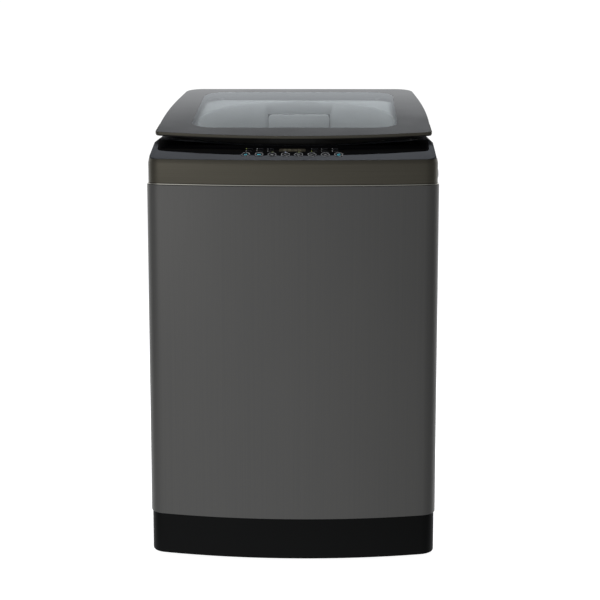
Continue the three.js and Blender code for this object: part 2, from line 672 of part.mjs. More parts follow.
// ---------------------------------------------------------------- drum, pulsator and shaft

function basket() {
  const { r, wall, floor, top } = DRUM;
  return turned(0, TUB.y, [
    [40, floor], [r, floor], [r, top], [r - wall, top], [r - wall, floor + 2], [40, floor + 2],
  ], 48);
}
add('drum_basket', basket(), 'steel');
add('balance_ring', turned(0, TUB.y, [
  [228, DRUM.top + GAP], [252, DRUM.top + GAP], [252, 792], [248, 796], [232, 796], [228, 790],
], 48), 'light');
add('drum_hub', turned(0, TUB.y, [
  [10.3, 224], [22, 224], [22, 300], [60, 306], [150, 310], [150, DRUM.floor - GAP], [10.3, DRUM.floor - GAP],
], 28), 'alloy');

for (const [side, s] of SIDES) {
  const x0 = DRUM.r - DRUM.wall - 16;
  const filter = box(x0, TUB.y - 40, 470, DRUM.r, TUB.y + 40, 650)
    .intersect(rod(0, TUB.y, 460, DRUM.r - DRUM.wall - 1.2, 200, 'z', 48));
  add(`lint_filter_${side}`, s > 0 ? filter : filter.mirror([1, 0, 0]), 'light');
}

function pulsator() {
  const disc = turned(0, TUB.y, [
    [0, 322], [172, 322], [176, 326], [150, 332], [60, 340], [34, 352], [0, 352],
  ], 36);
  const vanes = Array.from({ length: 6 }, (_, i) => {
    const g = new THREE.BoxGeometry(120, 14, 26).translate(96, 0, 339);
    return solid(g.rotateZ((i * Math.PI) / 3).translate(0, TUB.y, 0));
  });
  return cut(union(disc, ...vanes), rod(0, TUB.y, 315, 10.3, 21.3));
}
add('pulsator', pulsator(), 'light');
add('pulsator_cap', turned(0, TUB.y, [[0, 352.3], [26, 352.3], [24, 357], [0, 361]], 24), 'chrome');
add('drive_shaft', rod(0, TUB.y, 192, 10, 144), 'steel');
add('main_pulley', grooved(0, TUB.y, PULLEY.bigR, 10.3), 'alloy');

// ---------------------------------------------------------------- suspension and drain

for (const [corner, sx, sy] of CORNERS) {
  const x = sx * ROD.x;
  const y = TUB.y + sy * ROD.dy;
  const seat = CABINET_TOP + GAP;
  add(`suspension_rod_${corner}`, turned(x, y, [
    [0, ROD.low], [ROD.cupR, ROD.low], [ROD.cupR, ROD.low + 8], [ROD.r, ROD.low + 8],
    [ROD.r, seat], [12, seat], [12, seat + 7], [0, seat + 7],
  ], 14), 'steel');
  add(`suspension_spring_${corner}`,
    ring(x, y, ROD.r + 2, 17, ROD.low + 8 + GAP, ROD.lug - GAP, 14), 'steel');
}

add('drain_pump', union(
  turned(PUMP.x, PUMP.y, [
    [0, SKIRT_Z + 4 + GAP], [PUMP.r, SKIRT_Z + 4 + GAP],
    [PUMP.r, 96], [18, 96], [18, PUMP.top], [0, PUMP.top],
  ], 24),
  rod(PUMP.x, PUMP.y + PUMP.r - 6, DRAIN.z, DRAIN.r, 20, 'y'),
), 'light');
add('drain_outlet', cut(
  rod(PUMP.x, PUMP.y + PUMP.r + 14 + GAP, DRAIN.z, DRAIN.r, FITTINGS_Y - PUMP.y - PUMP.r - 14 - GAP, 'y'),
  rod(PUMP.x, 0, DRAIN.z, DRAIN.bore, 400, 'y'),
), 'rubber');
add('sump_bellows', ring(PUMP.x, PUMP.y, 15, 21, PUMP.top + GAP, TUB.floor - GAP, 20), 'rubber');

export default machine;
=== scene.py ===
"""Looks of the top load washing machine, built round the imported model. Metres, +Z up, -Y is the front.

A mesh in this script is a list of points and a list of faces. An outline is a closed list of (x, y) points,
and a profile one of (radius or distance in, height) points.
"""
import json
import math
from functools import partial

import bmesh
import bpy
from mathutils import Matrix, Vector


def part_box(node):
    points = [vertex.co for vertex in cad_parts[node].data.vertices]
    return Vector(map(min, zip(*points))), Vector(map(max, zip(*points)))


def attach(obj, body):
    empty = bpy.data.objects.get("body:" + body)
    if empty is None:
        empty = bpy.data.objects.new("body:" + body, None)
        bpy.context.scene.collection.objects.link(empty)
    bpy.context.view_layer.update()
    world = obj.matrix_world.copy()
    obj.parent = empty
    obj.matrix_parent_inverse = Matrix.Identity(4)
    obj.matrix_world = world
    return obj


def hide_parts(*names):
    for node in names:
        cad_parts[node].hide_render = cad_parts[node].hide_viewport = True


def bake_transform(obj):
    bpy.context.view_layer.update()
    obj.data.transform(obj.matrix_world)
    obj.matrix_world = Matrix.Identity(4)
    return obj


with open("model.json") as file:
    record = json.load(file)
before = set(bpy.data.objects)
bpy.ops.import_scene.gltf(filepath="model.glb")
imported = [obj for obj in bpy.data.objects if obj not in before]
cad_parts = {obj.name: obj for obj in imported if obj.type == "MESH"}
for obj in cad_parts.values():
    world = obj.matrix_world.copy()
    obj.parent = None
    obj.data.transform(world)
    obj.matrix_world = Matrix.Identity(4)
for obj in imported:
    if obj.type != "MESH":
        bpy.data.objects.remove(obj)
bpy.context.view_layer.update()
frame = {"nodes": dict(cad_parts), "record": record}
BODY_OF = {node: body for body, nodes in frame["record"]["behaviour"]["bodies"].items() for node in nodes}
SLOT_OF = {row["node"]: row["material_slot"] for row in frame["record"]["subparts"]}

MM = 0.001


def mm(*lengths):
    """Lengths in millimetres as a list in metres."""
    return [length * MM for length in lengths]


CORNERS = ("front_left", "front_right", "rear_left", "rear_right")
SIDES = ("left", "right")

# Casing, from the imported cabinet
CAB_LOW, CAB_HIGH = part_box("cabinet")
HALF_W = CAB_HIGH.x
FRONT_Y = CAB_LOW.y
REAR_Y = CAB_HIGH.y
BOW = 44 * MM
CORNER_R = 42 * MM
REAR_R = 14 * MM
BOW_R = (HALF_W ** 2 + BOW ** 2) / (2 * BOW)
BOW_CY = FRONT_Y + BOW_R

# Lid: its front edge, slope and plan
LID_SLOPE = math.radians(9.2)
LID_FRONT = Vector((0, -262 * MM, 931.5 * MM))
LID_PLACE = Matrix.Translation(LID_FRONT) @ Matrix.Rotation(LID_SLOPE, 4, "X")
LID_LENGTH = 551 * MM
LID_HALF_FRONT, LID_HALF_REAR, LID_BULGE = mm(301, 282, 4)
LID_FRONT_R, LID_REAR_R, LID_BACK = mm(14, 40, 68)
GLASS_INSET, GLASS_THICK, TRIM_THICK, TRIM_WIDE = mm(2.8, 4.2, 6.6, 2.5)
WINDOW_HALF, WINDOW_FRONT, WINDOW_REAR, WINDOW_R = mm(229, 87, 505, 55)

# Ramp that carries the controls, rising from the bow's edge towards the lid
RAMP_IN, RAMP_END = mm(6, 66)
RAMP_LOW, RAMP_HIGH = mm(886, 910.5)
RAMP_ANGLE = math.atan2(RAMP_HIGH - RAMP_LOW, RAMP_END - RAMP_IN)
PANEL_FROM, PANEL_END_FROM, PANEL_TO = mm(22.5, 40, 89.5)
PANEL_HALF, PANEL_THICK = mm(293, 2.4)
BUTTONS = ("power", "start", "program", "water_level", "wash", "rinse", "spin", "delay")
LIT_BUTTONS = ("power", "start", "delay")
BUTTON_PITCH, BUTTON_R, BUTTON_IN = mm(28.2, 9.7, 26)
BUTTON_RISE, BUTTON_DEPTH, BUTTON_DISH = mm(0.8, 9, 0.35)
SUNK = -0.05 * MM

# Upright axis of the tub and the drum
TUB_Y = 8 * MM
TUB_AXIS = Vector((0, TUB_Y, 0))
ON_TUB = Matrix.Translation(TUB_AXIS)
INSIDE_STEPS = 96
SHEAVE_LIP, SHEAVE_DEPTH = mm(3, 6)


# ---- outlines and profiles

def fillet(points, radius, steps=3):
    """Rounds each corner of a closed polygon, by radius or by each corner's own radius."""
    count = len(points)
    radii = radius if isinstance(radius, (list, tuple)) else [radius] * count
    out = []
    for i, here in enumerate(points):
        p, r = Vector(here), radii[i]
        if r <= 0:
            out.append(tuple(p))
            continue
        a = Vector(points[i - 1]) - p
        b = Vector(points[(i + 1) % count]) - p
        half = a.angle(b) / 2
        reach = min(r / math.tan(half), a.length * 0.49, b.length * 0.49)
        start, end = p + a.normalized() * reach, p + b.normalized() * reach
        for k in range(steps + 1):
            t = k / steps
            out.append(tuple(start.lerp(p, t).lerp(p.lerp(end, t), t)))
    return out


def arc(cx, cy, r, start, end, steps):
    turn = [start + (end - start) * i / steps for i in range(steps + 1)]
    return [(cx + r * math.cos(a), cy + r * math.sin(a)) for a in turn]


def oval(cx, cy, half_x, half_y, steps):
    """An oval, or a circle or regular polygon where both halves are equal."""
    turns = [2 * math.pi * k / steps for k in range(steps)]
    return [(cx + half_x * math.cos(a), cy + half_y * math.sin(a)) for a in turns]


def round_rect(x0, y0, x1, y1, r, steps=8):
    half = math.pi / 2
    return (arc(x1 - r, y0 + r, r, -half, 0, steps) + arc(x1 - r, y1 - r, r, 0, half, steps)
            + arc(x0 + r, y1 - r, r, half, 2 * half, steps)
            + arc(x0 + r, y0 + r, r, 2 * half, 3 * half, steps))


def bar(x0, y0, x1, y1, width):
    """A straight bar between two points."""
    a, b = Vector((x0, y0)), Vector((x1, y1))
    side = (b - a).normalized().orthogonal() * width / 2
    return [tuple(p) for p in (a + side, a - side, b - side, b + side)]


def arc_band(r0, r1, start, end, steps=14, x=0, y=0):
    """Part of a flat ring."""
    return arc(x, y, r1, start, end, steps) + arc(x, y, r0, end, start, steps)


def casing_path(inset, rear_cut=None, bow_steps=40, corner_steps=10):
    """Plan of the casing moved in by inset, from the left rear round the front to the right rear."""
    w, r, big = HALF_W - inset, max(CORNER_R - inset, 2 * MM), BOW_R - inset
    fy = BOW_CY - math.sqrt((big - r) ** 2 - (w - r) ** 2)
    lean = math.asin((w - r) / (big - r))
    half = math.pi / 2
    bow = arc(0, BOW_CY, big, -half - lean, -half + lean, bow_steps)
    left = arc(-w + r, fy, r, math.pi, math.pi + half - lean, corner_steps)
    right = arc(w - r, fy, r, -half + lean, 0, corner_steps)
    if rear_cut is not None:
        return [(-w, rear_cut)] + left + bow[1:-1] + right + [(w, rear_cut)]
    rear, rr = REAR_Y - inset, max(REAR_R - inset, 1 * MM)
    rear_left = arc(-w + rr, rear - rr, rr, half, math.pi, 5)
    rear_right = arc(w - rr, rear - rr, rr, 0, half, 5)
    return left + bow[1:-1] + right + rear_right + rear_left


# ---- meshes

def level(outline, z):
    return [(x, y, z) for x, y in outline]


def circles(profile, steps):
    """A ring of points about z for each point of a profile."""
    return [level(oval(0, 0, r, r, steps), z) for r, z in profile]


def tube(rings, looped=False, capped=True):
    """Mesh over a run of matching rings, with its ends joined to each other, closed or left open."""
    count, runs = len(rings[0]), len(rings)
    faces = []
    for a in range(runs if looped else runs - 1):
        b = (a + 1) % runs
        for i in range(count):
            n = (i + 1) % count
            faces.append((a * count + i, a * count + n, b * count + n, b * count + i))
    if capped and not looped:
        faces += [tuple(range(count)), tuple(range((runs - 1) * count, runs * count))]
    return [point for ring in rings for point in ring], faces


def prism(outline, z0, z1):
    """An upright prism on a plan outline."""
    return tube([level(outline, z) for z in (z0, z1)])


def upright_prism(outline, y0, y1):
    """A prism along Y on an outline of (x, z) points."""
    verts, faces = prism(outline, y0, y1)
    return [(x, z, y) for x, y, z in verts], faces


def turned(profile, steps=48):
    """A profile turned about z. It ends on the axis at both ends or closes on itself."""
    hollow = profile[0][0] > 0 and profile[-1][0] > 0
    return tube(circles(profile, steps), looped=hollow, capped=False)


def sweep(profile, path_of, closed=True):
    """A closed profile of (inset, z) points carried along path_of(inset), a closed or an open line."""
    lines = [level(path_of(inset), z) for inset, z in profile]
    return tube(lines, looped=True) if closed else tube(list(zip(*lines)))


def moved(matrix, mesh):
    verts, faces = mesh
    return [matrix @ Vector(v) for v in verts], faces


def join_meshes(parts):
    """One mesh out of several."""
    verts, faces = [], []
    for points, sides in parts:
        base = len(verts)
        verts += points
        faces += [[base + i for i in side] for side in sides]
    return verts, faces


def bridge(outer, inner, z):
    """Flat faces between an outline and a hole inside it, in the plane z."""
    bm = bmesh.new()
    loops = []
    for outline in (outer, inner):
        ring = [bm.verts.new((x, y, z)) for x, y in outline]
        loops.append([bm.edges.new((ring[i], ring[(i + 1) % len(ring)])) for i in range(len(ring))])
    bmesh.ops.triangle_fill(bm, use_beauty=True, edges=loops[0] + loops[1])
    bm.verts.index_update()
    verts = [tuple(v.co) for v in bm.verts]
    faces = [[v.index for v in f.verts] for f in bm.faces]
    bm.free()
    return verts, faces


def framed_slab(outer, inner, z0, z1, edge):
    """A slab between outer(0) and a hole, with its outer top edge eased back to outer(edge)."""
    wall = [level(outer(0), z0), level(outer(0), z1 - edge), level(outer(edge), z1)]
    hole = [level(inner, z0), level(inner, z1)]
    return join_meshes([bridge(outer(0), inner, z0), bridge(outer(edge), inner, z1),
                        tube(wall, capped=False), tube(hole, capped=False)])


# ---- materials

class Nodes:
    """The node tree of a material or a world, with short calls for the nodes that it needs."""

    def __init__(self, name, world=False):
        self.material = (bpy.data.worlds if world else bpy.data.materials).new(name)
        self.material.use_nodes = True
        self.tree = self.material.node_tree
        self.tree.nodes.clear()
        self.out = self.new("ShaderNodeOutputWorld" if world else "ShaderNodeOutputMaterial")

    def new(self, kind, **settings):
        node = self.tree.nodes.new(kind)
        for key, value in settings.items():
            setattr(node, key, value)
        return node

    def link(self, a, b):
        self.tree.links.new(a, b)

    def feed(self, socket, value):
        """Links a value that is a socket, and sets any other."""
        if isinstance(value, bpy.types.NodeSocket):
            self.link(value, socket)
        else:
            socket.default_value = (*value, 1) if isinstance(value, tuple) else value

    def add(self, kind, output, inputs, **settings):
        """A node with inputs fed by name or by number, and the output asked for."""
        node = self.new(kind, **settings)
        for place, value in inputs.items():
            self.feed(node.inputs[place], value)
        return node.outputs[output]

    def noise(self, scale, detail=4.0, roughness=0.5):
        """Noise over the object, as fine as one scale or as the scale of each axis says."""
        mapping = self.new("ShaderNodeMapping")
        mapping.inputs["Scale"].default_value = scale if isinstance(scale, tuple) else (scale,) * 3
        self.link(self.add("ShaderNodeTexCoord", "Object", {}), mapping.inputs["Vector"])
        return self.add("ShaderNodeTexNoise", "Fac", {
            "Scale": 1.0, "Detail": detail, "Roughness": roughness, "Vector": mapping.outputs["Vector"]})

    def ramp(self, value, stops):
        node = self.new("ShaderNodeValToRGB")
        points = node.color_ramp.elements
        while len(points) < len(stops):
            points.new(0.5)
        for point, (at, colour) in zip(points, stops):
            point.position = at
            point.color = (*colour, 1)
        self.link(value, node.inputs["Fac"])
        return node.outputs["Color"]

    def tones(self, value, dark, light, margin=0.3):
        return self.ramp(value, [(margin, dark), (1 - margin, light)])

    def span(self, value, low, high, from_low=0.3, from_high=0.7):
        return self.add("ShaderNodeMapRange", "Result", {
            "Value": value, "From Min": from_low, "From Max": from_high, "To Min": low, "To Max": high})

    def mixed(self, kind, factor, first, second):
        node = self.new("ShaderNodeMix", data_type="RGBA", blend_type=kind)
        self.feed(node.inputs["Factor"], factor)
        colours = [socket for socket in node.inputs if socket.type == "RGBA"]
        self.link(first, colours[0])
        self.link(second, colours[1])
        return next(socket for socket in node.outputs if socket.type == "RGBA")

    def bump(self, height, strength):
        return self.add("ShaderNodeBump", "Normal", {
            "Height": height, "Strength": strength, "Distance": 0.2 * MM})

    def maths(self, kind, first, second):
        return self.add("ShaderNodeMath", "Value", {0: first, 1: second}, operation=kind)

    def mixed_shader(self, share, first, second):
        return self.add("ShaderNodeMixShader", "Shader", {0: share, 1: first, 2: second})

    def show(self, shader):
        self.link(shader, self.out.inputs["Surface"])

    def surface(self, **values):
        """Principled shader with the sockets and constants given."""
        names = {"color": "Base Color", "metal": "Metallic", "rough": "Roughness", "normal": "Normal",
                 "coat": "Coat Weight", "coat_rough": "Coat Roughness", "specular": "Specular IOR Level",
                 "tint": "Specular Tint", "emission": "Emission Color", "glow": "Emission Strength"}
        shader = self.add("ShaderNodeBsdfPrincipled", "BSDF", {names[k]: v for k, v in values.items()})
        self.show(shader)
        return shader


def grained_metal(name, dark, light, rough, grain, metal=0.6, bump=0.06, coat=0.15):
    """Coated or brushed metal whose grain runs along the axis with the small scale."""
    n = Nodes(name)
    streaks = n.noise(grain, 5.0, 0.6)
    cloud = n.noise((3.1, 3.1, 2.3), 2.0)
    mix = n.maths("ADD", n.span(streaks, 0.0, 0.65), n.span(cloud, 0.0, 0.35))
    n.surface(color=n.tones(mix, dark, light, 0.1), metal=metal,
              rough=n.span(streaks, rough - 0.05, rough + 0.05),
              normal=n.bump(streaks, bump), coat=coat, coat_rough=0.3)
    return n.material


def moulded(name, dark, light, rough, grain=900.0, bump=0.12, specular=0.5):
    """Moulded plastic with a fine pebbled grain and a faint large-scale variation."""
    n = Nodes(name)
    pebble = n.noise(grain, 2.0)
    cloud = n.noise(7.0, 3.0)
    n.surface(color=n.tones(cloud, dark, light),
              rough=n.span(cloud, rough - 0.04, rough + 0.06), specular=specular,
              normal=n.bump(pebble, bump))
    return n.material


def gloss(name, dark, light, rough=0.06, coat=0.4, **more):
    """Polished surface with a trace of orange peel and handling haze."""
    n = Nodes(name)
    haze = n.noise(9.0, 5.0, 0.6)
    peel = n.noise(120.0, 1.0)
    n.surface(color=n.tones(haze, dark, light),
              rough=n.span(haze, rough, rough + 0.05), coat=coat, coat_rough=0.04,
              normal=n.bump(peel, 0.02), **more)
    return n.material


def glowing(name, colour, strength):
    n = Nodes(name)
    flicker = n.noise(300.0, 1.0)
    tint = tuple(c * 0.8 for c in colour)
    n.surface(color=n.tones(flicker, tint, colour), rough=0.3,
              emission=colour, glow=strength)
    return n.material


# How much more a pane shines than one surface of glass does, for its second face
BOTH_FACES = 1.25


def clear_glass(name, tint):
    """Flat tempered glass: it lets light straight through and shines by its angle."""
    n = Nodes(name)
    wisp = n.noise(4.0, 2.0)
    clearer = tuple(min(c * 1.04, 1) for c in tint)
    through = n.add("ShaderNodeBsdfTransparent", "BSDF", {"Color": n.tones(wisp, tint, clearer)})
    shine = n.surface(color=(0.90, 0.95, 1.0), rough=0.03, metal=1.0)
    facing = n.add("ShaderNodeFresnel", "Fac", {"IOR": 1.5})
    leaving = n.add("ShaderNodeNewGeometry", "Backfacing", {})
    entering = n.maths("SUBTRACT", BOTH_FACES, n.span(leaving, 0.0, BOTH_FACES, 0.0, 1.0))
    n.show(n.mixed_shader(n.maths("MULTIPLY", entering, facing), through, shine))
    return n.material


UPRIGHT_GRAIN = (420.0, 420.0, 1.6)
LEVEL_GRAIN = (3.0, 3.0, 900.0)
DRUM_GRAIN = (60.0, 60.0, 900.0)

CABINET = grained_metal("cabinet_coat", (0.182, 0.177, 0.169), (0.205, 0.198, 0.187),
                        0.42, UPRIGHT_GRAIN, 0.5)
BRONZE = grained_metal("bronze", (0.125, 0.112, 0.084), (0.155, 0.140, 0.106), 0.38, LEVEL_GRAIN, 0.7, 0.08)
TRIM = grained_metal("lid_trim_bronze", (0.105, 0.095, 0.074), (0.143, 0.130, 0.100),
                     0.34, LEVEL_GRAIN, 0.8, 0.05)
BRIGHT = grained_metal("bright_strip", (0.52, 0.50, 0.44), (0.66, 0.63, 0.56), 0.22, LEVEL_GRAIN, 1.0)
PLINTH = moulded("plinth_plastic", (0.0045, 0.0045, 0.0045), (0.007, 0.007, 0.0065), 0.5, specular=0.18)
DARK = moulded("dark_plastic", (0.007, 0.0065, 0.0055), (0.010, 0.0095, 0.008), 0.42, specular=0.22)
COVER = moulded("cover_plastic", (0.053, 0.056, 0.062), (0.064, 0.068, 0.075), 0.4, specular=0.3)
INNER = moulded("inner_plastic", (0.66, 0.68, 0.69), (0.72, 0.74, 0.75), 0.4)
COLLAR = moulded("collar_plastic", (0.33, 0.345, 0.355), (0.37, 0.385, 0.395), 0.4, specular=0.3)
RING_GREY = moulded("ring_plastic", (0.26, 0.28, 0.30), (0.31, 0.33, 0.35), 0.35)
PANEL = gloss("panel_gloss", (0.0006, 0.0006, 0.0008), (0.001, 0.001, 0.0012), 0.06, 0.0,
              specular=0.25)
KEY = gloss("key_cap", (0.016, 0.017, 0.019), (0.022, 0.023, 0.025), 0.22, 0.0)
DISPLAY = glowing("display_window", (0.016, 0.0145, 0.0105), 0.5)
PRINT = gloss("lid_print", (0.010, 0.011, 0.013), (0.014, 0.015, 0.018), 0.03, 0.0,
              tint=(0.90, 0.95, 1.0))
DOTS = moulded("window_print", (0.012, 0.013, 0.015), (0.016, 0.017, 0.019), 0.5)
GLASS = clear_glass("lid_window", (0.92, 0.935, 0.935))
STEEL = grained_metal("drum_steel", (0.52, 0.53, 0.54), (0.68, 0.69, 0.70), 0.3, DRUM_GRAIN, 0.75)
PLAIN_STEEL = grained_metal("plain_steel", (0.36, 0.37, 0.38), (0.5, 0.51, 0.52), 0.35, 90.0, 1.0)
CAST = grained_metal("cast_alloy", (0.30, 0.31, 0.32), (0.42, 0.43, 0.44), 0.5, 240.0, 0.9, 0.3)
GALVANISED = grained_metal("coated_sheet", (0.10, 0.105, 0.11), (0.15, 0.155, 0.16), 0.45, 40.0)
RUBBER = moulded("black_rubber", (0.012, 0.012, 0.012), (0.020, 0.020, 0.020), 0.75, 500.0, 0.2)
BOARD = gloss("circuit_board", (0.02, 0.10, 0.04), (0.03, 0.14, 0.06), 0.3, 0.2)
CYAN = glowing("cyan_light", (0.05, 0.42, 0.55), 0.55)
AMBER = glowing("amber_segments", (0.100, 0.090, 0.062), 0.5)
LIME = glowing("lime_light", (0.22, 0.26, 0.08), 0.5)
PALE = glowing("pale_light", (0.20, 0.24, 0.38), 0.6)
LEGEND = moulded("panel_legend", (0.30, 0.305, 0.31), (0.36, 0.365, 0.37), 0.4)
MARKS = moulded("panel_marks", (0.030, 0.032, 0.036), (0.040, 0.042, 0.047), 0.4)

NODE_FINISH = {
    "cabinet_paint": CABINET, "bronze_trim": BRONZE, "bright_strip": BRIGHT, "black_plastic": DARK,
    "panel_gloss": PANEL, "cover_plastic": COVER, "inner_plastic": INNER, "lid_glass": PRINT,
    "drum_steel": STEEL, "steel_parts": PLAIN_STEEL, "cast_alloy": CAST,
    "galvanised_cover": GALVANISED, "black_rubber": RUBBER, "circuit_board": BOARD,
}


# ---- pieces

def extent(node):
    """Lowest and highest corner of a CAD node, its middle and half its size."""
    low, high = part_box(node)
    return low, high, (low + high) / 2, (high - low) / 2


def dress(thing, material):
    thing.data.materials.clear()
    thing.data.materials.append(material)
    return thing


def clean(mesh, smooth_angle=32):
    """Merges doubles, turns every face outwards and smooths all but the sharp edges."""
    bm = bmesh.new()
    bm.from_mesh(mesh)
    bmesh.ops.remove_doubles(bm, verts=bm.verts, dist=1e-6)
    bmesh.ops.recalc_face_normals(bm, faces=bm.faces)
    bm.to_mesh(mesh)
    bm.free()
    mesh.shade_smooth()
    mesh.set_sharp_from_angle(angle=math.radians(smooth_angle))


def linked(name, data):
    thing = bpy.data.objects.new(name, data)
    bpy.context.collection.objects.link(thing)
    return thing


def solid(name, mesh, smooth_angle=32):
    """An object made of a mesh."""
    verts, faces = mesh
    data = bpy.data.meshes.new(name)
    data.from_pydata([tuple(v) for v in verts], [], faces)
    clean(data, smooth_angle)
    return linked(name, data)


def bake(thing, smooth_angle=32):
    """Turns what a piece's modifiers make of it into its own mesh."""
    bpy.context.view_layer.update()
    graph = bpy.context.evaluated_depsgraph_get()
    thing.data = bpy.data.meshes.new_from_object(thing.evaluated_get(graph))
    thing.modifiers.clear()
    thing.data.shade_smooth()
    thing.data.set_sharp_from_angle(angle=math.radians(smooth_angle))


def cut(thing, holes):
    """Cuts a mesh out of a piece."""
    tool = solid("scratch", holes)
    cutter = thing.modifiers.new("cut", "BOOLEAN")
    cutter.object = tool
    cutter.operation = "DIFFERENCE"
    cutter.solver = "EXACT"
    bake(thing)
    bpy.data.objects.remove(tool)


def declare(thing, body, finish):
    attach(thing, body)
    dress(thing, finish)


def stand_for(thing, node, finish=None):
    """Gives a piece the body of the CAD node that it replaces and the finish of that node's slot, or a
    finish of its own, and hides the node.
    """
    slot = SLOT_OF[node]
    declare(thing, BODY_OF[node], finish or NODE_FINISH[slot])
    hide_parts(node)


def put(name, mesh, node, finish=None, holes=None):
    """A piece in place of a CAD node, with the mesh of its holes cut out."""
    thing = solid(name, mesh)
    if holes:
        cut(thing, holes)
    stand_for(thing, node, finish)


def extra(name, mesh, finish, body="root"):
    """A piece that stands for no CAD node."""
    declare(solid(name, mesh), body, finish)


def refined(name, node, edge, segments=2, holes=None):
    """A CAD node's own mesh with its flat faces joined and its sharp edges rounded."""
    source = frame["nodes"][node]
    mesh = source.data.copy()
    mesh.materials.clear()
    bm = bmesh.new()
    bm.from_mesh(mesh)
    bmesh.ops.remove_doubles(bm, verts=bm.verts, dist=2e-6)
    flat = math.radians(0.4)
    bmesh.ops.dissolve_limit(bm, angle_limit=flat, verts=bm.verts, edges=bm.edges, delimit=set())
    bm.to_mesh(mesh)
    bm.free()
    thing = linked(name, mesh)
    thing.matrix_world = source.matrix_world.copy()
    rounding = thing.modifiers.new("edge_round", "BEVEL")
    rounding.width = edge
    rounding.segments = segments
    rounding.limit_method = "ANGLE"
    rounding.angle_limit = math.radians(28)
    rounding.use_clamp_overlap = True
    rounding.miter_outer = "MITER_ARC"
    bake(thing, 40)
    if holes:
        cut(thing, holes)
    stand_for(thing, node)


ALONG = {"x": Matrix.Rotation(math.pi / 2, 4, "Y"), "y": Matrix.Rotation(-math.pi / 2, 4, "X"),
         "z": Matrix.Identity(4)}


def on_axis(axis, through):
    """Matrix that lays z along an axis through a point and keeps distances along that axis."""
    foot = [0 if name == axis else value for name, value in zip("xyz", through)]
    return Matrix.Translation(foot) @ ALONG[axis]


def turned_piece(name, node, profile, finish=None, axis="z", steps=64, at=None, holes=None):
    """Replaces a CAD node with a profile turned about its middle, or about an axis at a point."""
    place = on_axis(axis, at or extent(node)[2])
    put(name, moved(place, turned(profile, steps)), node, finish, holes)


def round_bar(name, node, radius, eases, axis="z", steps=32):
    """Replaces a CAD node with a plain round bar whose two ends are eased."""
    low, high = (getattr(corner, axis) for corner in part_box(node))
    profile = fillet([(0, low), (radius, low), (radius, high), (0, high)], [0, *eases, 0])
    turned_piece(name, node, profile, axis=axis, steps=steps)


def stretched(name, mesh, node):
    """A piece in place of a CAD node, with its placement baked into its mesh and attached to no body."""
    thing = dress(solid(name, mesh, 60), NODE_FINISH[SLOT_OF[node]])
    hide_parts(node)
    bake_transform(thing)


# ---- casing

def cabinet_shell():
    """Sheet shell with folded edges, and an opening at the back behind the service cover."""
    z0, z1 = CAB_LOW.z, CAB_HIGH.z
    skin, top_fold, foot_fold = mm(1, 14, 10)
    profile = fillet([
        (0, z0), (0, z1), (top_fold, z1), (top_fold, z1 - skin), (skin, z1 - skin),
        (skin, z0 + skin), (foot_fold, z0 + skin), (foot_fold, z0),
    ], mm(1.5, 1.5, 0, 0, 0.4, 0.4, 0, 0))
    lo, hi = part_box("back_cover")
    lap, deep = mm(18, 5)
    opening = round_rect(lo.x + lap, lo.z + lap, hi.x - lap, hi.z - lap, 14 * MM)
    put("cabinet_shell", sweep(profile, casing_path), "cabinet",
        holes=upright_prism(opening, REAR_Y - deep, REAR_Y + deep))


def plinth():
    """Set-back base with a flange underneath, drilled for the levelling feet."""
    lo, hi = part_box("base_skirt")
    face = HALF_W - hi.x
    back, flange, sheet_top = face + 4 * MM, face + 70 * MM, lo.z + 4 * MM
    profile = fillet([
        (face, lo.z), (face, hi.z), (back, hi.z), (back, sheet_top), (flange, sheet_top), (flange, lo.z),
    ], mm(4, 1.2, 0, 0, 0, 0))
    hole_r, under, over = 7.5 * MM, lo.z - 4 * MM, lo.z + 12 * MM
    drill = [(0, under), (hole_r, under), (hole_r, over), (0, over)]
    drills = [moved(on_axis("z", extent("foot_" + corner)[2]), turned(drill, 24)) for corner in CORNERS]
    put("plinth", sweep(profile, casing_path), "base_skirt", PLINTH, join_meshes(drills))


def band_and_strip():
    """Bronze band with a sloping upper edge, and the thin bright strip under it."""
    lo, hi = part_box("trim_band")
    face = HALF_W - hi.x
    back, slope_in, slope_down = face + 2.4 * MM, 1.9 * MM, 9 * MM
    profile = fillet([
        (face, lo.z), (face, hi.z - slope_down), (face + slope_in, hi.z), (back, hi.z), (back, lo.z),
    ], mm(0.8, 0.5, 0.5, 0, 0))
    put("band", sweep(profile, partial(casing_path, rear_cut=hi.y), closed=False), "trim_band")

    lo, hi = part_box("chrome_strip")
    face = HALF_W - hi.x
    back, ease = face + 4 * MM, 1.1 * MM
    profile = fillet([(face, lo.z), (face, hi.z), (back, hi.z), (back, lo.z)], [ease, ease, 0, 0])
    put("bright_line", sweep(profile, partial(casing_path, rear_cut=hi.y), closed=False), "chrome_strip")


def cover_pieces():
    refined("cover", "top_cover", 1.4 * MM)
    refined("rear_cover", "back_cover", 0.5 * MM, 1)


def side_caps():
    """Round screw caps low on the band near the front corners."""
    r, rise, root, back, high = mm(10, 1.9, -1, 96, 850)
    profile = fillet([(0, root), (r, root), (r, rise * 0.5), (r - 2.2 * MM, rise), (0, rise)],
                     mm(0, 0, 0.7, 1.5, 0), 4)
    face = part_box("trim_band")[1].x
    for side, s in zip(SIDES, (-1, 1)):
        place = Matrix.Translation((s * face, FRONT_Y + back, high)) @ Matrix.Rotation(
            s * math.pi / 2, 4, "Y")
        extra("screw_cap_" + side, moved(place, turned(profile, 40)), COVER)


# ---- lid

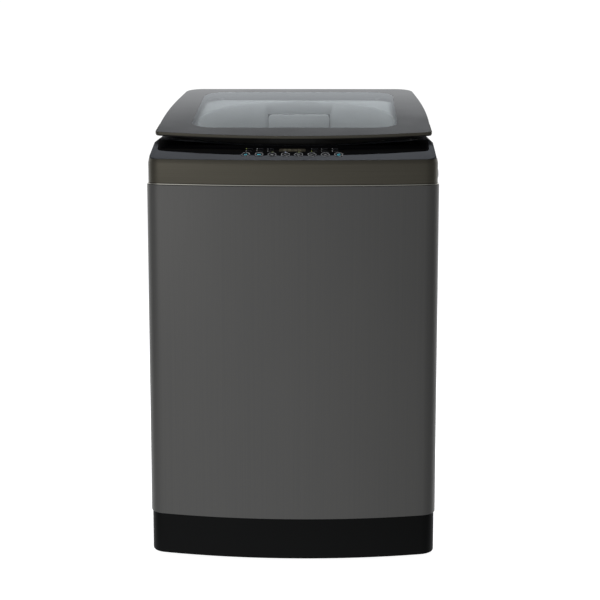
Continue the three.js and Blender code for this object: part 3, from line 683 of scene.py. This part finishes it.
def lid_front(inset, steps=24):
    """Right half of the lid's bow and front corner, from the middle, in the lid's own plane."""
    front, half = BOW_R - LID_BACK - inset, LID_HALF_FRONT - inset
    cy = BOW_R - LID_BACK
    lean = math.asin((half - LID_FRONT_R) / (front - LID_FRONT_R))
    corner_y = cy - math.sqrt((front - LID_FRONT_R) ** 2 - (half - LID_FRONT_R) ** 2)
    quarter = math.pi / 2
    bow = arc(0, cy, front, -quarter, -quarter + lean, steps)
    turn = arc(half - LID_FRONT_R, corner_y, LID_FRONT_R, -quarter + lean, 0, 8)
    return bow + turn[1:]


def lid_side(inset, t):
    """Point on the right side, from the front corner at t 0 to the rear corner at t 1."""
    corner_y = lid_front(inset)[-1][1]
    half_front, half_rear = LID_HALF_FRONT - inset, LID_HALF_REAR - inset
    y = corner_y + (LID_LENGTH - inset - LID_REAR_R - corner_y) * t
    return half_front + (half_rear - half_front) * t * t + LID_BULGE * math.sin(math.pi * t), y


def lid_outline(inset):
    """Plan of the lid in its own plane: bow front, tight front corners, sides that close in."""
    sides = [lid_side(inset, i / 16) for i in range(1, 16)]
    rear = arc(LID_HALF_REAR - inset - LID_REAR_R, LID_LENGTH - inset - LID_REAR_R, LID_REAR_R,
               0.08, math.pi / 2, 12)
    right = lid_front(inset)[1:] + sides + rear
    return [lid_front(inset)[0]] + right + [(-x, y) for x, y in reversed(right)]


def trim_path(inset):
    """Front edge of the lid and a little way along each side, where it dies into the glass's edge."""
    right = lid_front(inset)
    for share, taper in ((0.02, 0.15), (0.06, 0.45), (0.11, 0.8), (0.16, 0.97)):
        right.append(lid_side(inset + (TRIM_WIDE - inset) * taper, share))
    return [(-x, y) for x, y in reversed(right[1:])] + right


def window_outline(grow=0.0):
    return round_rect(-WINDOW_HALF - grow, WINDOW_FRONT - grow, WINDOW_HALF + grow, WINDOW_REAR + grow,
                      WINDOW_R + grow, 16)


def spaced(outline, pitch, phase):
    """Points at an even pitch along a closed outline."""
    count = len(outline)
    total = sum(math.dist(outline[i], outline[(i + 1) % count]) for i in range(count))
    places = round(total / pitch)
    step, points, passed, wanted = total / places, [], 0.0, phase * total / places
    for i in range(count):
        a, b = Vector(outline[i]), Vector(outline[(i + 1) % count])
        length = (b - a).length
        while wanted <= passed + length and len(points) < places:
            points.append(a.lerp(b, (wanted - passed) / max(length, 1e-9)))
            wanted += step
        passed += length
    return points


def window_dots():
    """Printed dots under the glass round the window, smaller row by row towards its middle."""
    pitch, top, thick = 3.0 * MM, -GLASS_THICK - 0.05 * MM, 0.1 * MM
    parts = []
    for row in range(5):
        radius = (1.35 - 0.22 * row) * MM
        line = window_outline(-(1.5 + 2.6 * row) * MM)
        for p in spaced(line, pitch, 0.5 * (row % 2)):
            parts.append(prism(oval(p.x, p.y, radius, radius, 6), top - thick, top))
    return join_meshes(parts)


def lid_pieces():
    """Printed border, clear window, dots, underframe and front trim, laid on the lid's slope."""
    border = framed_slab(lambda d: lid_outline(GLASS_INSET + d), window_outline(),
                         -GLASS_THICK, 0, 0.5 * MM)
    put("lid_border", moved(LID_PLACE, border), "lid_glass", PRINT)
    window = prism(window_outline(-0.05 * MM), -GLASS_THICK, 0)
    extra("lid_window", moved(LID_PLACE, window), GLASS, "lid")
    extra("window_dots", moved(LID_PLACE, window_dots()), DOTS, "lid")
    refined("lid_underframe", "lid_frame", 0.8 * MM)
    profile = fillet([(0, -TRIM_THICK), (0, 0), (TRIM_WIDE, 0), (TRIM_WIDE, -TRIM_THICK)],
                     mm(1.2, 1.2, 0.3, 0.3), 4)
    put("lid_front_trim", moved(LID_PLACE, sweep(profile, trim_path, closed=False)), "lid_trim", TRIM)


# ---- controls

def on_ramp(x, inside, lift=0.0):
    """Point on the ramp at a sideways distance and a distance in from the bow, raised by lift."""
    radius = BOW_R - inside
    turn = math.asin(x / radius)
    out = Vector((math.sin(turn) * math.sin(RAMP_ANGLE), -math.cos(turn) * math.sin(RAMP_ANGLE),
                  math.cos(RAMP_ANGLE)))
    z = RAMP_LOW + (inside - RAMP_IN) * math.tan(RAMP_ANGLE)
    return Vector((x, BOW_CY - radius * math.cos(turn), z)) + out * lift


def ramp_plate(outline, low, high):
    """A thin plate on the ramp, on an outline of (sideways, distance in) points."""
    return tube([[on_ramp(x, d, h) for x, d in outline] for h in (low, high)])


def panel_low(x):
    """Distance in of the panel's front edge, which bows more than the cover's."""
    end_y = BOW_CY - math.sqrt((BOW_R - PANEL_END_FROM) ** 2 - PANEL_HALF ** 2)
    sag = end_y - FRONT_Y - PANEL_FROM
    bow = (PANEL_HALF ** 2 + sag ** 2) / (2 * sag)
    y = FRONT_Y + PANEL_FROM + bow - math.sqrt(bow ** 2 - x ** 2)
    return BOW_R - math.hypot(x, BOW_CY - y)


def panel_high(x):
    """Distance in where the ramp runs out under the plane that the lid closes over."""
    low, high = RAMP_END, PANEL_TO
    for _ in range(20):
        middle = (low + high) / 2
        at = on_ramp(x, middle)
        under = at.z < RAMP_HIGH + (at.y - FRONT_Y - RAMP_END) * math.tan(LID_SLOPE)
        low, high = (middle, high) if under else (low, middle)
    return low + 1.4 * MM


def button_x(i):
    return (i - (len(BUTTONS) - 1) / 2) * BUTTON_PITCH


def control_panel():
    """Black gloss panel with round lower corners and an eased edge, with holes for the buttons."""
    end_r, ease, top_ease, gap = mm(13, 1.3, 0.6, 0.3)
    straight = PANEL_HALF - end_r
    turn = [math.pi / 2 * i / 10 for i in range(1, 11)]
    right = [straight * i / 44 for i in range(45)] + [straight + end_r * math.sin(a) for a in turn]
    sections = []
    for x in [-x for x in reversed(right[1:])] + right:
        over = max(abs(x) - straight, 0)
        low = panel_low(x) + end_r - math.sqrt(max(end_r ** 2 - over ** 2, 0))
        high = panel_high(x)
        section = fillet([(low, -PANEL_THICK), (low, 0), (high, 0), (high, -PANEL_THICK)],
                         [0, ease, top_ease, 0], 4)
        sections.append([on_ramp(x, d, h) for d, h in section])
    outlines = [oval(button_x(i), BUTTON_IN, BUTTON_R + gap, BUTTON_R, 32) for i in range(len(BUTTONS))]
    holes = [ramp_plate(outline, -BUTTON_DEPTH, BUTTON_DEPTH) for outline in outlines]
    put("control_fascia", tube(sections), "control_panel", holes=join_meshes(holes))


def button_place(i):
    """Matrix whose z axis stands out of the ramp at a button's centre."""
    foot = on_ramp(button_x(i), BUTTON_IN)
    out = (on_ramp(button_x(i), BUTTON_IN, 1.0) - foot).normalized()
    side = (Vector((0, 0, 1)) - out * out.z).normalized().cross(out).normalized()
    place = Matrix((side, out.cross(side), out)).transposed().to_4x4()
    return Matrix.Translation(foot) @ place


def button_signs():
    """Outlines of the sign on each button, in millimetres about its centre."""
    full = 2 * math.pi - 0.01
    power = [arc_band(2.3, 3.0, math.radians(130), math.radians(410)), bar(0, 0.8, 0, 3.6, 0.7)]
    start = [[(-2.8, -2.2), (0.6, 0), (-2.8, 2.2)]] + [bar(x, -2.1, x, 2.1, 0.8) for x in (1.5, 3.0)]
    clock = [arc_band(2.6, 3.2, 0, full, 24), bar(0, -0.2, 0, 2.0, 0.6), bar(0, 0, 1.6, 0, 0.6)]
    bars = [bar(-2.8, y, 2.8, y, 0.6) for y in (-1.4, 0, 1.4)]
    wave = [arc_band(1.1, 1.7, a, a + math.pi, 8, x) for a, x in ((0, -1.4), (math.pi, 1.4))]
    spiral = [arc_band(r, r + 0.5, 0.6 * k, 0.6 * k + 4.4, 16) for k, r in enumerate((1.2, 2.4))]
    dots = [arc_band(0.01, 0.7, 0, full, 10, x, y) for x, y in ((-2, -1), (0, 1.2), (2, -1))]
    return [power, start, bars, wave, spiral, dots, [bars[0], bars[2]], clock]


def buttons():
    """Round keys with a raised rim, a dished middle, a ring on the rim and a sign in the dish."""
    top, floor, foot = BUTTON_RISE, BUTTON_RISE - BUTTON_DISH, -BUTTON_DEPTH
    body = fillet([(0, foot), (BUTTON_R, foot), (BUTTON_R, top), (8.2 * MM, top), (7.8 * MM, floor),
                   (0, floor)], mm(0, 0, 0.6, 0.2, 0.2, 0), 3)
    inner, outer, ring_low, ring_high = 8.3 * MM, 9.0 * MM, top - 0.05 * MM, top + 0.06 * MM
    ring = [(inner, ring_low), (outer, ring_low), (outer, ring_high), (inner, ring_high)]
    for i, (label, sign) in enumerate(zip(BUTTONS, button_signs())):
        place, node = button_place(i), "button_" + label
        put("key_" + label, moved(place, turned(body)), node, KEY)
        extra("key_ring_" + label, moved(place, turned(ring)), LEGEND, node)
        outlines = [[(x * MM, y * MM) for x, y in outline] for outline in sign]
        marks = join_meshes([prism(outline, floor - 0.03 * MM, floor + 0.06 * MM) for outline in outlines])
        glow = CYAN if label in LIT_BUTTONS else LEGEND
        extra("key_sign_" + label, moved(place, marks), glow, node)


def lamp_spot(x, inside, half_long, half_tall, lift=0.08 * MM):
    """A small oval light on the panel."""
    return ramp_plate(oval(x, inside, half_long, half_tall, 14), SUNK, lift)


def seven_segments(x, inside, digit, lift, high=8 * MM, wide=4.4 * MM, stroke=0.8 * MM):
    """Lit bars of one digit, centred on x and inside."""
    h, w = high / 2, wide / 2
    top, middle, bottom = (-w, h, w, h), (-w, 0, w, 0), (-w, -h, w, -h)
    left_up, right_up, left_down, right_down = (-w, 0, -w, h), (w, 0, w, h), (-w, -h, -w, 0), (w, -h, w, 0)
    lit = {
        "0": (top, bottom, left_up, left_down, right_up, right_down),
        "4": (left_up, right_up, middle, right_down),
        "5": (top, left_up, middle, right_down, bottom),
    }[digit]
    out = []
    for x0, y0, x1, y1 in lit:
        trim = Vector((x1 - x0, y1 - y0)).normalized() * stroke * 0.6
        line = bar(x + x0 + trim.x, inside + y0 + trim.y, x + x1 - trim.x, inside + y1 - trim.y, stroke)
        out.append(ramp_plate(line, -SUNK, lift))
    return out


def display():
    """Dark window with four digits, two and two, and a colon between them."""
    middle, half_wide, half_tall, corner_r = mm(46.5, 28, 6.2, 1.5)
    window = round_rect(-half_wide, middle - half_tall, half_wide, middle + half_tall, corner_r, 4)
    extra("display_window", ramp_plate(window, SUNK, 0.22 * MM), DISPLAY)
    pitch, gap, colon, dot, lift = mm(9.6, 1.2, 2, 0.55, 0.32)
    digits = [lamp_spot(0, middle + y, dot, dot, lift) for y in (-colon, colon)]
    for k, digit in enumerate("0045"):
        digits += seven_segments((k - 1.5) * pitch + (gap if k > 1 else -gap), middle, digit, lift)
    extra("display_digits", join_meshes(digits), AMBER)


def panel_lights():
    """Columns of small lights with plain marks beside them, and lights above three buttons."""
    spot_half_wide, spot_half_tall, mark_gap, mark_tall = mm(0.9, 1.3, 3.2, 1.0)
    columns, mark_lengths = mm(-98.7, -75.4, -52.1, 41.1, 62.3, 85.6), mm(8.5, 11.0, 9.5)
    unlit, marks, lit = [], [], []
    for c, x in enumerate(columns):
        for r, inside in enumerate(mm(42.6, 52.4)):
            spot = lamp_spot(x, inside, spot_half_wide, spot_half_tall)
            (lit if (c, r) in ((3, 0), (0, 1)) else unlit).append(spot)
            start = x + mark_gap
            end = start + mark_lengths[(c + r) % 3]
            marks.append(ramp_plate(bar(start, inside, end, inside, mark_tall), SUNK, -SUNK))
    extra("panel_lights_off", join_meshes(unlit), LEGEND)
    extra("panel_marks", join_meshes(marks), MARKS)
    extra("panel_lights_on", join_meshes(lit), LIME)
    for label, glow in (("program", LIME), ("water_level", PALE), ("wash", LIME)):
        spot = lamp_spot(button_x(BUTTONS.index(label)), 38.4 * MM, 1.7 * MM, 0.9 * MM)
        extra("light_above_" + label, spot, glow)


# ---- inside: well, drum and pulsator

def well_collar():
    """Thin light collar round the well's mouth, lying on the plane that the lid closes over."""
    half, near, far = mm(250, 38, 508)
    near_r, far_r, mouth = mm(150, 45, 227)
    under, top, ease = mm(0.05, 0.8, 0.4)
    place = Matrix.Translation((0, FRONT_Y + RAMP_END, RAMP_HIGH)) @ Matrix.Rotation(LID_SLOPE, 4, "X")
    middle = (TUB_Y - FRONT_Y - RAMP_END) / math.cos(LID_SLOPE)
    inner = oval(0, middle, mouth, mouth / math.cos(LID_SLOPE), 120)
    quarter = math.pi / 2
    corners = ((half - near_r, near + near_r, near_r), (half - far_r, far - far_r, far_r),
               (far_r - half, far - far_r, far_r), (near_r - half, near + near_r, near_r))

    def outer(inset):
        line = []
        for turn, (x, y, r) in enumerate(corners, -1):
            line += arc(x, y, r - inset, turn * quarter, (turn + 1) * quarter, 14)
        return line

    collar = framed_slab(outer, inner, under, top, ease)
    extra("well_collar", moved(place, collar), COLLAR)


def ring_pieces():
    """The tub's mouth ring and the drum's balance ring."""
    low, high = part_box("tub_ring")
    outer, inner = high.x, 232 * MM
    profile = fillet([(inner, low.z), (outer, low.z), (outer, low.z + 6 * MM), (inner + 14 * MM, high.z),
                      (inner + 3 * MM, high.z), (inner, high.z - 3 * MM)],
                     mm(0.6, 0.8, 2, 3, 1.5, 1.5))
    turned_piece("tub_mouth_ring", "tub_ring", profile, steps=INSIDE_STEPS, at=TUB_AXIS)
    low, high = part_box("balance_ring")
    outer, inner = high.x, 228 * MM
    profile = fillet([(inner, low.z), (outer, low.z), (outer, high.z - 4 * MM), (outer - 4 * MM, high.z),
                      (inner + 4 * MM, high.z), (inner, high.z - 6 * MM)],
                     mm(1, 1, 3, 3, 3, 3), 4)
    turned_piece("balancer", "balance_ring", profile, RING_GREY, steps=INSIDE_STEPS, at=TUB_AXIS)


def perforated_drum():
    """Drum with rows of real holes in its wall, plain bands above and below them, and a floor."""
    low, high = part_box("drum_basket")
    cells, rows, wall, hole = 72, 18, 1.2 * MM, 2.4 * MM
    outer, inner = high.x, high.x - wall
    first, last = low.z + 24 * MM, high.z - 26 * MM
    half_turn, half_tall = math.pi / cells, (last - first) / rows / 2
    around = ((-1, -1), (0, -1), (1, -1), (1, 0), (1, 1), (0, 1), (-1, 1), (-1, 0))
    square = [(x * half_turn, y * half_tall) for x, y in around]
    octagon = [(x / outer, y) for x, y in arc(0, 0, hole, -0.75 * math.pi, math.pi, 7)]

    def pierced_cell(along, z):
        """Outer face, hole and inner face of one cell of the wall."""
        faces = ((square, outer), (octagon, outer), (octagon, inner), (square, inner))
        return tube([[(r * math.cos(along + a), r * math.sin(along + a), z + up) for a, up in outline]
                     for outline, r in faces], capped=False)

    parts = [pierced_cell(half_turn * (2 * cell + 1), first + half_tall * (2 * row + 1))
             for row in range(rows) for cell in range(cells)]
    curb, hub_r = low.z + 3 * MM, 40 * MM
    floor = [(outer, first), (outer, curb), (outer - 3 * MM, low.z), (hub_r, low.z), (hub_r, low.z + wall),
             (outer - 4 * MM, low.z + wall), (inner, curb), (inner, first)]
    brim = [(outer, last), (outer, high.z), (inner, high.z), (inner, last)]
    parts += [tube(circles(profile, 2 * cells), capped=False) for profile in (floor, brim)]
    put("drum", moved(ON_TUB, join_meshes(parts)), "drum_basket")


def pulsator():
    """Disc whose vanes sweep round and die away towards the rim, with a plain underside, and its cap."""
    low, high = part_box("pulsator")
    outer, vanes, steps, rings = high.x, 6, 144, 26
    inner, edge, base = 28 * MM, high.x - 1.5 * MM, low.z + 3 * MM
    bowl, hump, vane = mm(8, 10, 19)
    turns = [2 * math.pi * i / steps for i in range(steps)]
    bore, loops = 11 * MM, []
    for k in range(rings + 1):
        t = k / rings
        r = inner + (edge - inner) * t
        dish = bowl * (1 - t) ** 2 + hump * math.exp(-(t / 0.16) ** 2)
        fade = math.sin(math.pi * min(t * 1.08 + 0.02, 1)) ** 0.6
        ridges = [max(math.cos(vanes * (a + 0.55 * t ** 1.3)), 0) ** 2.4 for a in turns]
        loops.append([(r * math.cos(a), r * math.sin(a),
                       min(base + 4 * MM + dish + vane * ridge * fade, high.z))
                      for a, ridge in zip(turns, ridges)])
    loops += circles([(outer, base + 1 * MM), (outer - 3 * MM, low.z), (bore, low.z),
                      (bore, high.z - 12 * MM), (24 * MM, high.z - 10 * MM)], steps)
    put("pulsator_disc", moved(ON_TUB, tube(loops, looped=True)), "pulsator", RING_GREY)

    low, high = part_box("pulsator_cap")
    r, brim = high.x, low.z + 2 * MM
    rises = [math.pi / 2 * k / 8 for k in range(8)]
    dome = [(r * math.cos(a), brim + (high.z - brim) * math.sin(a)) for a in rises]
    turned_piece("cap", "pulsator_cap", [(0, low.z), (r, low.z), *dome, (0, high.z)], steps=72, at=TUB_AXIS)


def lint_filters():
    """Framed filter boxes on the drum wall with upright slots in the face towards the middle."""
    pitch, half_wide, half_deep, margin = mm(5.2, 1.4, 6, 18)
    for side in SIDES:
        node = "lint_filter_" + side
        low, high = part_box(node)
        face = low.x if side == "right" else high.x
        slots = []
        for k in range(-6, 7):
            y = TUB_Y + k * pitch
            slot = round_rect(face - half_deep, y - half_wide, face + half_deep, y + half_wide, 1.3 * MM, 3)
            slots.append(prism(slot, low.z + margin, high.z - margin))
        refined("filter_" + side, node, 1.6 * MM, 3, join_meshes(slots))


# ---- tub, drive, suspension and drain

def sheave(r, z, height):
    """Outer part of a pulley's profile from its foot up: two lips and the belt's groove between them."""
    rim, top = r - SHEAVE_DEPTH, z + height
    lip = SHEAVE_LIP - 0.4 * MM
    return [(r, z), (r, z + lip), (rim, z + SHEAVE_LIP), (rim, top - SHEAVE_LIP), (r, top - lip), (r, top)]


def pulleys():
    """The drum's large pulley, with round holes in its web, and the motor's small one."""
    low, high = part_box("main_pulley")
    z, top, r = low.z, high.z, high.x
    bore, hub, web, half_web = 10.3 * MM, 24 * MM, (low.z + high.z) / 2, 2 * MM
    ring, ring_foot, hub_foot = r - 16 * MM, r - 18 * MM, 26 * MM
    profile = fillet([
        (bore, z), (hub, z), (hub_foot, web - half_web), (ring_foot, web - half_web), (ring, z),
        *sheave(r, z, top - z), (ring, top), (ring_foot, web + half_web), (hub_foot, web + half_web),
        (hub, top), (bore, top)], 0.5 * MM, 2)
    at, hole, clear = mm(52, 14, 5)
    spots = oval(0, TUB_Y, at, at, 6)
    holes = [prism(oval(x, y, hole, hole, 28), z - clear, top + clear) for x, y in spots]
    turned_piece("drum_pulley", "main_pulley", profile, steps=96, at=TUB_AXIS, holes=join_meshes(holes))

    low, high, _, half = extent("motor_pulley")
    collar, foot = 6 * MM, low.z + 4 * MM
    profile = fillet([
        (0, low.z), (collar, low.z), (collar, foot), *sheave(half.x, foot, top - z),
        (collar, foot + top - z), (collar, high.z), (0, high.z)], [0] + [0.4 * MM] * 10 + [0], 2)
    turned_piece("drive_pulley", "motor_pulley", profile)


def coil(x, y, low, high, radius, wire, turns, per_turn=28, sides=8):
    """A closed tube along a coil whose last turn at each end lies flat."""
    count = turns * per_turn
    dead = 0.9 / turns
    rings = []
    for i in range(count + 1):
        t = i / count
        rise = min(max((t - dead) / (1 - 2 * dead), 0), 1)
        z = low + wire + (high - low - 2 * wire) * (0.06 * t + 0.94 * rise)
        a = 2 * math.pi * turns * t
        rings.append([(x + (radius + out) * math.cos(a), y + (radius + out) * math.sin(a), z + up)
                      for out, up in oval(0, 0, wire, wire, sides)])
    return tube(rings)


def suspension():
    """Hanging rods with a cup at the foot, and coil springs."""
    rod_r, head_r, seat, wire = 4.5 * MM, 12 * MM, CAB_HIGH.z + 0.3 * MM, 2.3 * MM
    for corner in CORNERS:
        node = "suspension_rod_" + corner
        low, high, _, half = extent(node)
        lip = low.z + 8 * MM
        profile = fillet([
            (0, low.z), (half.x, low.z), (half.x, lip), (rod_r, lip), (rod_r, seat), (head_r, seat),
            (head_r - 1 * MM, high.z), (0, high.z)], mm(0, 3, 1, 0, 0, 0.6, 2, 0), 3)
        turned_piece("hanger_" + corner, node, profile, steps=32)
        node = "suspension_spring_" + corner
        low, high, middle, half = extent(node)
        radius = half.x - wire - 0.6 * MM
        stretched("spring_" + corner, coil(middle.x, middle.y, low.z, high.z, radius, wire, 7), node)


def bellows():
    """Corrugated rubber duct from the pump up to the tub's sump."""
    low, high, middle, half = extent("sump_bellows")
    bore, outer, folds, cuff = 15 * MM, half.x, 12, 14 * MM
    cuff_r, crest_r, valley_r = outer - 1.5 * MM, outer - 0.8 * MM, bore + 2.2 * MM
    pitch = (high.z - low.z - 2 * cuff) / folds
    fold = ((valley_r, 0.12), (crest_r, 0.38), (outer, 0.5), (crest_r, 0.62), (valley_r, 0.88))
    profile = [(cuff_r, low.z), (cuff_r, low.z + cuff)]
    for k in range(folds):
        profile += [(r, low.z + cuff + pitch * (k + share)) for r, share in fold]
    profile += [(cuff_r, high.z - cuff), (cuff_r, high.z), (bore, high.z), (bore, low.z)]
    stretched("bellows", moved(on_axis("z", middle), turned(profile, 40)), "sump_bellows")


def outlet_spigot():
    """Drain spigot with four barbs."""
    low, high, _, half = extent("drain_outlet")
    bore, r = 11 * MM, half.x
    profile = [(bore, low.y), (r - 1 * MM, low.y)]
    for k in range(4):
        y = high.y - (26 - 6 * k) * MM
        profile += [(r - 1.2 * MM, y), (r, y + 0.8 * MM), (r - 1.2 * MM, y + 4.5 * MM)]
    profile += [(r - 1.5 * MM, high.y), (bore, high.y)]
    turned_piece("outlet_spigot", "drain_outlet", profile, axis="y", steps=36)


def feet():
    """Rubber pad, lock nut and threaded stem of each levelling foot."""
    thick, stem, nut, thread, depth = mm(8, 6, 10, 1.6, 0.7)
    for corner in CORNERS:
        node = "foot_" + corner
        low, high, middle, half = extent(node)
        pad = half.x
        profile = fillet([(0, 0.6 * MM), (pad - 6 * MM, 0.6 * MM), (pad - 5 * MM, low.z), (pad, low.z),
                          (pad, thick * 0.6), (pad - 4 * MM, thick), (nut, thick), (stem, thick + 0.2 * MM)],
                         mm(0, 0.3, 0.3, 1.2, 1, 1.5, 0, 0), 3)
        z = thick + 0.4 * MM
        while z + thread < high.z:
            profile += [(stem, z), (stem - depth, z + thread / 2)]
            z += thread
        profile += [(stem - depth, high.z), (0, high.z)]
        hexagon = oval(0, 0, nut - 0.3 * MM, nut - 0.3 * MM, 6)
        foot = join_meshes([turned(profile), prism(hexagon, thick - 0.5 * MM, 11.6 * MM)])
        put("levelling_" + node, moved(on_axis("z", middle), foot), node)


# ---- fittings and fasteners

def hose_couplings():
    """Valve body with two threaded hose connections."""
    low, high, middle, _ = extent("inlet_valve")
    face, shoulder = mm(292.7, 300)
    bore, r, groove, pitch, root = mm(8, 11.6, 1, 2.2, 4)
    profile = [(bore, face - root), (r, face - root), (r, shoulder), (r - groove, shoulder + 0.5 * MM)]
    y = shoulder + 1 * MM
    while y + pitch < high.y:
        profile += [(r - groove, y), (r, y + 0.7 * MM), (r, y + 1.1 * MM), (r - groove, y + 1.8 * MM)]
        y += pitch
    profile += [(r - groove, high.y), (bore, high.y)]
    parts = [upright_prism(round_rect(low.x, low.z, high.x, high.z, 5 * MM, 5), low.y, face)]
    parts += [moved(on_axis("y", (x, 0, middle.z)), turned(profile, 40)) for x in mm(130, 190)]
    put("hose_couplings", join_meshes(parts), "inlet_valve")


def cable_gland():
    low, high, _, half = extent("cord_gland")
    bore, stem, tip, face = 5 * MM, 11 * MM, 8 * MM, REAR_Y + 0.3 * MM
    profile = fillet([(bore, low.y), (stem, low.y), (stem, face), (half.x, face), (half.x, face + 3 * MM),
                      (9 * MM, face + 4.5 * MM), (tip, high.y), (bore, high.y)],
                     mm(0, 0.5, 0, 0.8, 1.2, 1, 1, 0.5), 3)
    turned_piece("cable_gland", "cord_gland", profile, axis="y", steps=40)


def screw_head(r=4.5 * MM, rise=2.2 * MM):
    """Pan head with a cross recess's round dimple, standing on z 0."""
    profile = fillet([(0, -0.4 * MM), (r, -0.4 * MM), (r, rise * 0.5), (r * 0.7, rise), (1.4 * MM, rise),
                      (1.0 * MM, rise - 0.9 * MM), (0, rise - 0.9 * MM)],
                     mm(0, 0, 0.5, 0.8, 0.1, 0, 0), 3)
    return turned(profile, 24)


def rear_screws():
    """Screws round the service cover, and a row on the rear box of the top cover."""
    low, high, middle, _ = extent("back_cover")
    lap, out, side, inner = mm(9, 6, 218, 100)
    right = ((side, low.z + lap), (side, middle.z), (side, high.z - lap), (inner, high.z + out),
             (inner, low.z - out))
    spots = [(sign * x, REAR_Y, z) for sign in (-1, 1) for x, z in right]
    box_rear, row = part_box("top_cover")[1].y, 990 * MM
    spots += [(x * MM, box_rear, row) for x in (-240, -80, 80, 240)]
    screws = [moved(Matrix.Translation(spot) @ ALONG["y"], screw_head()) for spot in spots]
    extra("rear_screws", join_meshes(screws), PLAIN_STEEL)


def machinery():
    """Pieces that keep their CAD shape with rounded edges, and plain round bars."""
    for name, node, edge in (
            ("well_wall", "well_liner", 1.2), ("drawer", "detergent_drawer", 1.4),
            ("drawer_box", "drawer_housing", 0.8), ("lock_case", "lid_lock", 1.2),
            ("tub_shell", "outer_tub", 1.2), ("motor_case", "motor", 2.0), ("belt", "drive_belt", 0.6),
            ("pump_case", "drain_pump", 1.5), ("bearing_case", "bearing_housing", 1.2),
            ("hub", "drum_hub", 1.2), ("hinge_ears_left", "hinge_bracket_left", 0.8),
            ("hinge_ears_right", "hinge_bracket_right", 0.8), ("board", "control_board", 0.3)):
        refined(name, node, edge * MM)
    round_bar("shaft", "drive_shaft", 10 * MM, (1 * MM, 1 * MM), steps=48)
    round_bar("bolt", "lid_lock_bolt", extent("lid_lock_bolt")[3].x, (0.5 * MM, 1.2 * MM))
    for side in SIDES:
        node = "hinge_pin_" + side
        round_bar("pin_" + side, node, extent(node)[3].z, (0.8 * MM, 0.8 * MM), "x", 36)


# ---- stage, light and camera

# Studio brightness: behind the machine by the height of a direction, in front of it from left to
# right, and how the front part dims with height
BEHIND = ((0.0, 0.95), (0.335, 0.92), (0.345, 0.60), (0.353, 0.35), (0.366, 0.24), (0.42, 0.2),
          (0.6, 0.05), (1.0, 0.0))
AHEAD = ((0.0, 0.16), (0.1, 0.40), (0.3, 0.55), (0.5, 0.47), (0.75, 0.29), (0.92, 0.17), (1.0, 0.14))
OVERHEAD = ((0.0, 1.0), (0.25, 0.9), (0.55, 0.4), (0.8, 0.12), (1.0, 0.1))


def area_light(name, at, aim, size, power):
    light = bpy.data.lights.new(name, "AREA")
    light.shape = "RECTANGLE"
    light.size, light.size_y = size
    light.energy = power
    lamp = linked(name, light)
    lamp.location = at
    lamp.rotation_euler = (Vector(aim) - Vector(at)).to_track_quat("-Z", "Y").to_euler()
    lamp.visible_camera = False
    return lamp


def floor():
    """Near-white floor that glows, so that its far part meets the white background."""
    reach = 14.0
    corners = [(-reach, -reach, 0), (reach, -reach, 0), (reach, reach, 0), (-reach, reach, 0)]
    ground = solid("floor", (corners, [(0, 1, 2, 3)]))
    ground.visible_glossy = False
    ground.visible_diffuse = False
    n = Nodes("floor_paint")
    cloud = n.noise(0.6, 2.0)
    n.surface(color=n.tones(cloud, (0.86, 0.86, 0.86), (0.9, 0.9, 0.9)),
              rough=0.7, specular=0.2, emission=(1.0, 1.0, 1.0), glow=0.97)
    dress(ground, n.material)


def cool_greys(stops):
    """Colour stops of a faintly blue grey from (place, brightness) pairs."""
    return [(at, (bright * 0.97, bright * 0.985, bright)) for at, bright in stops]


def studio():
    """A white background for the camera, and for reflections a studio that is bright low down behind."""
    sky = Nodes("studio", world=True)
    bpy.context.scene.world = sky.material
    way = sky.new("ShaderNodeSeparateXYZ")
    sky.link(sky.add("ShaderNodeTexCoord", "Generated", {}), way.inputs["Vector"])
    behind = sky.ramp(way.outputs["Z"], cool_greys(BEHIND))
    across = sky.ramp(sky.span(way.outputs["X"], 0.0, 1.0, -1.0, 1.0), cool_greys(AHEAD))
    dimming = sky.ramp(way.outputs["Z"], cool_greys(OVERHEAD))
    ahead = sky.mixed("MULTIPLY", 1.0, across, dimming)
    rearward = sky.span(way.outputs["Y"], 0.0, 1.0, 0.3, 0.75)
    glow = sky.mixed("MIX", rearward, ahead, behind)
    felt = sky.add("ShaderNodeBackground", "Background", {"Color": glow})
    seen = sky.add("ShaderNodeBackground", "Background", {"Color": (1.0, 1.0, 1.0), "Strength": 1.05})
    by_camera = sky.add("ShaderNodeLightPath", "Is Camera Ray", {})
    sky.show(sky.mixed_shader(by_camera, felt, seen))


def lights():
    """A soft key from the left, and a lamp over the lid that doesn't show in its glass."""
    area_light("key", (-3.4, -3.8, 1.3), (0, 0, 0.6), (2.6, 2.6), 9)
    over = area_light("over_lid", (0.0, 0.1, 3.2), (0, 0, 0.9), (1.3, 0.8), 68)
    over.visible_glossy = False


def camera():
    """Long lens well in front of the machine, a little to the right and looking down."""
    lens = bpy.data.cameras.new("camera")
    lens.sensor_width = 36
    lens.lens = 89.8
    lens.shift_y = -0.03
    lens.clip_end = 100
    view = linked("camera", lens)
    view.location = (0.1021, -3.4749, 1.1057)
    view.rotation_euler = (math.radians(90 - 8.67), 0, math.radians(1.54))
    bpy.context.scene.camera = view
    bpy.context.scene.view_settings.view_transform = "Standard"
    bpy.context.scene.view_settings.look = "None"


# ---- assembly

for build in (
        camera, floor, studio, lights, cabinet_shell, plinth, band_and_strip, cover_pieces, side_caps,
        lid_pieces, control_panel, buttons, display, panel_lights, machinery, well_collar, ring_pieces,
        perforated_drum, pulsator, lint_filters, pulleys, suspension, bellows, outlet_spigot, feet,
        hose_couplings, cable_gland, rear_screws):
    build()

for node, shown in frame["nodes"].items():
    dress(shown, NODE_FINISH[SLOT_OF[node]])
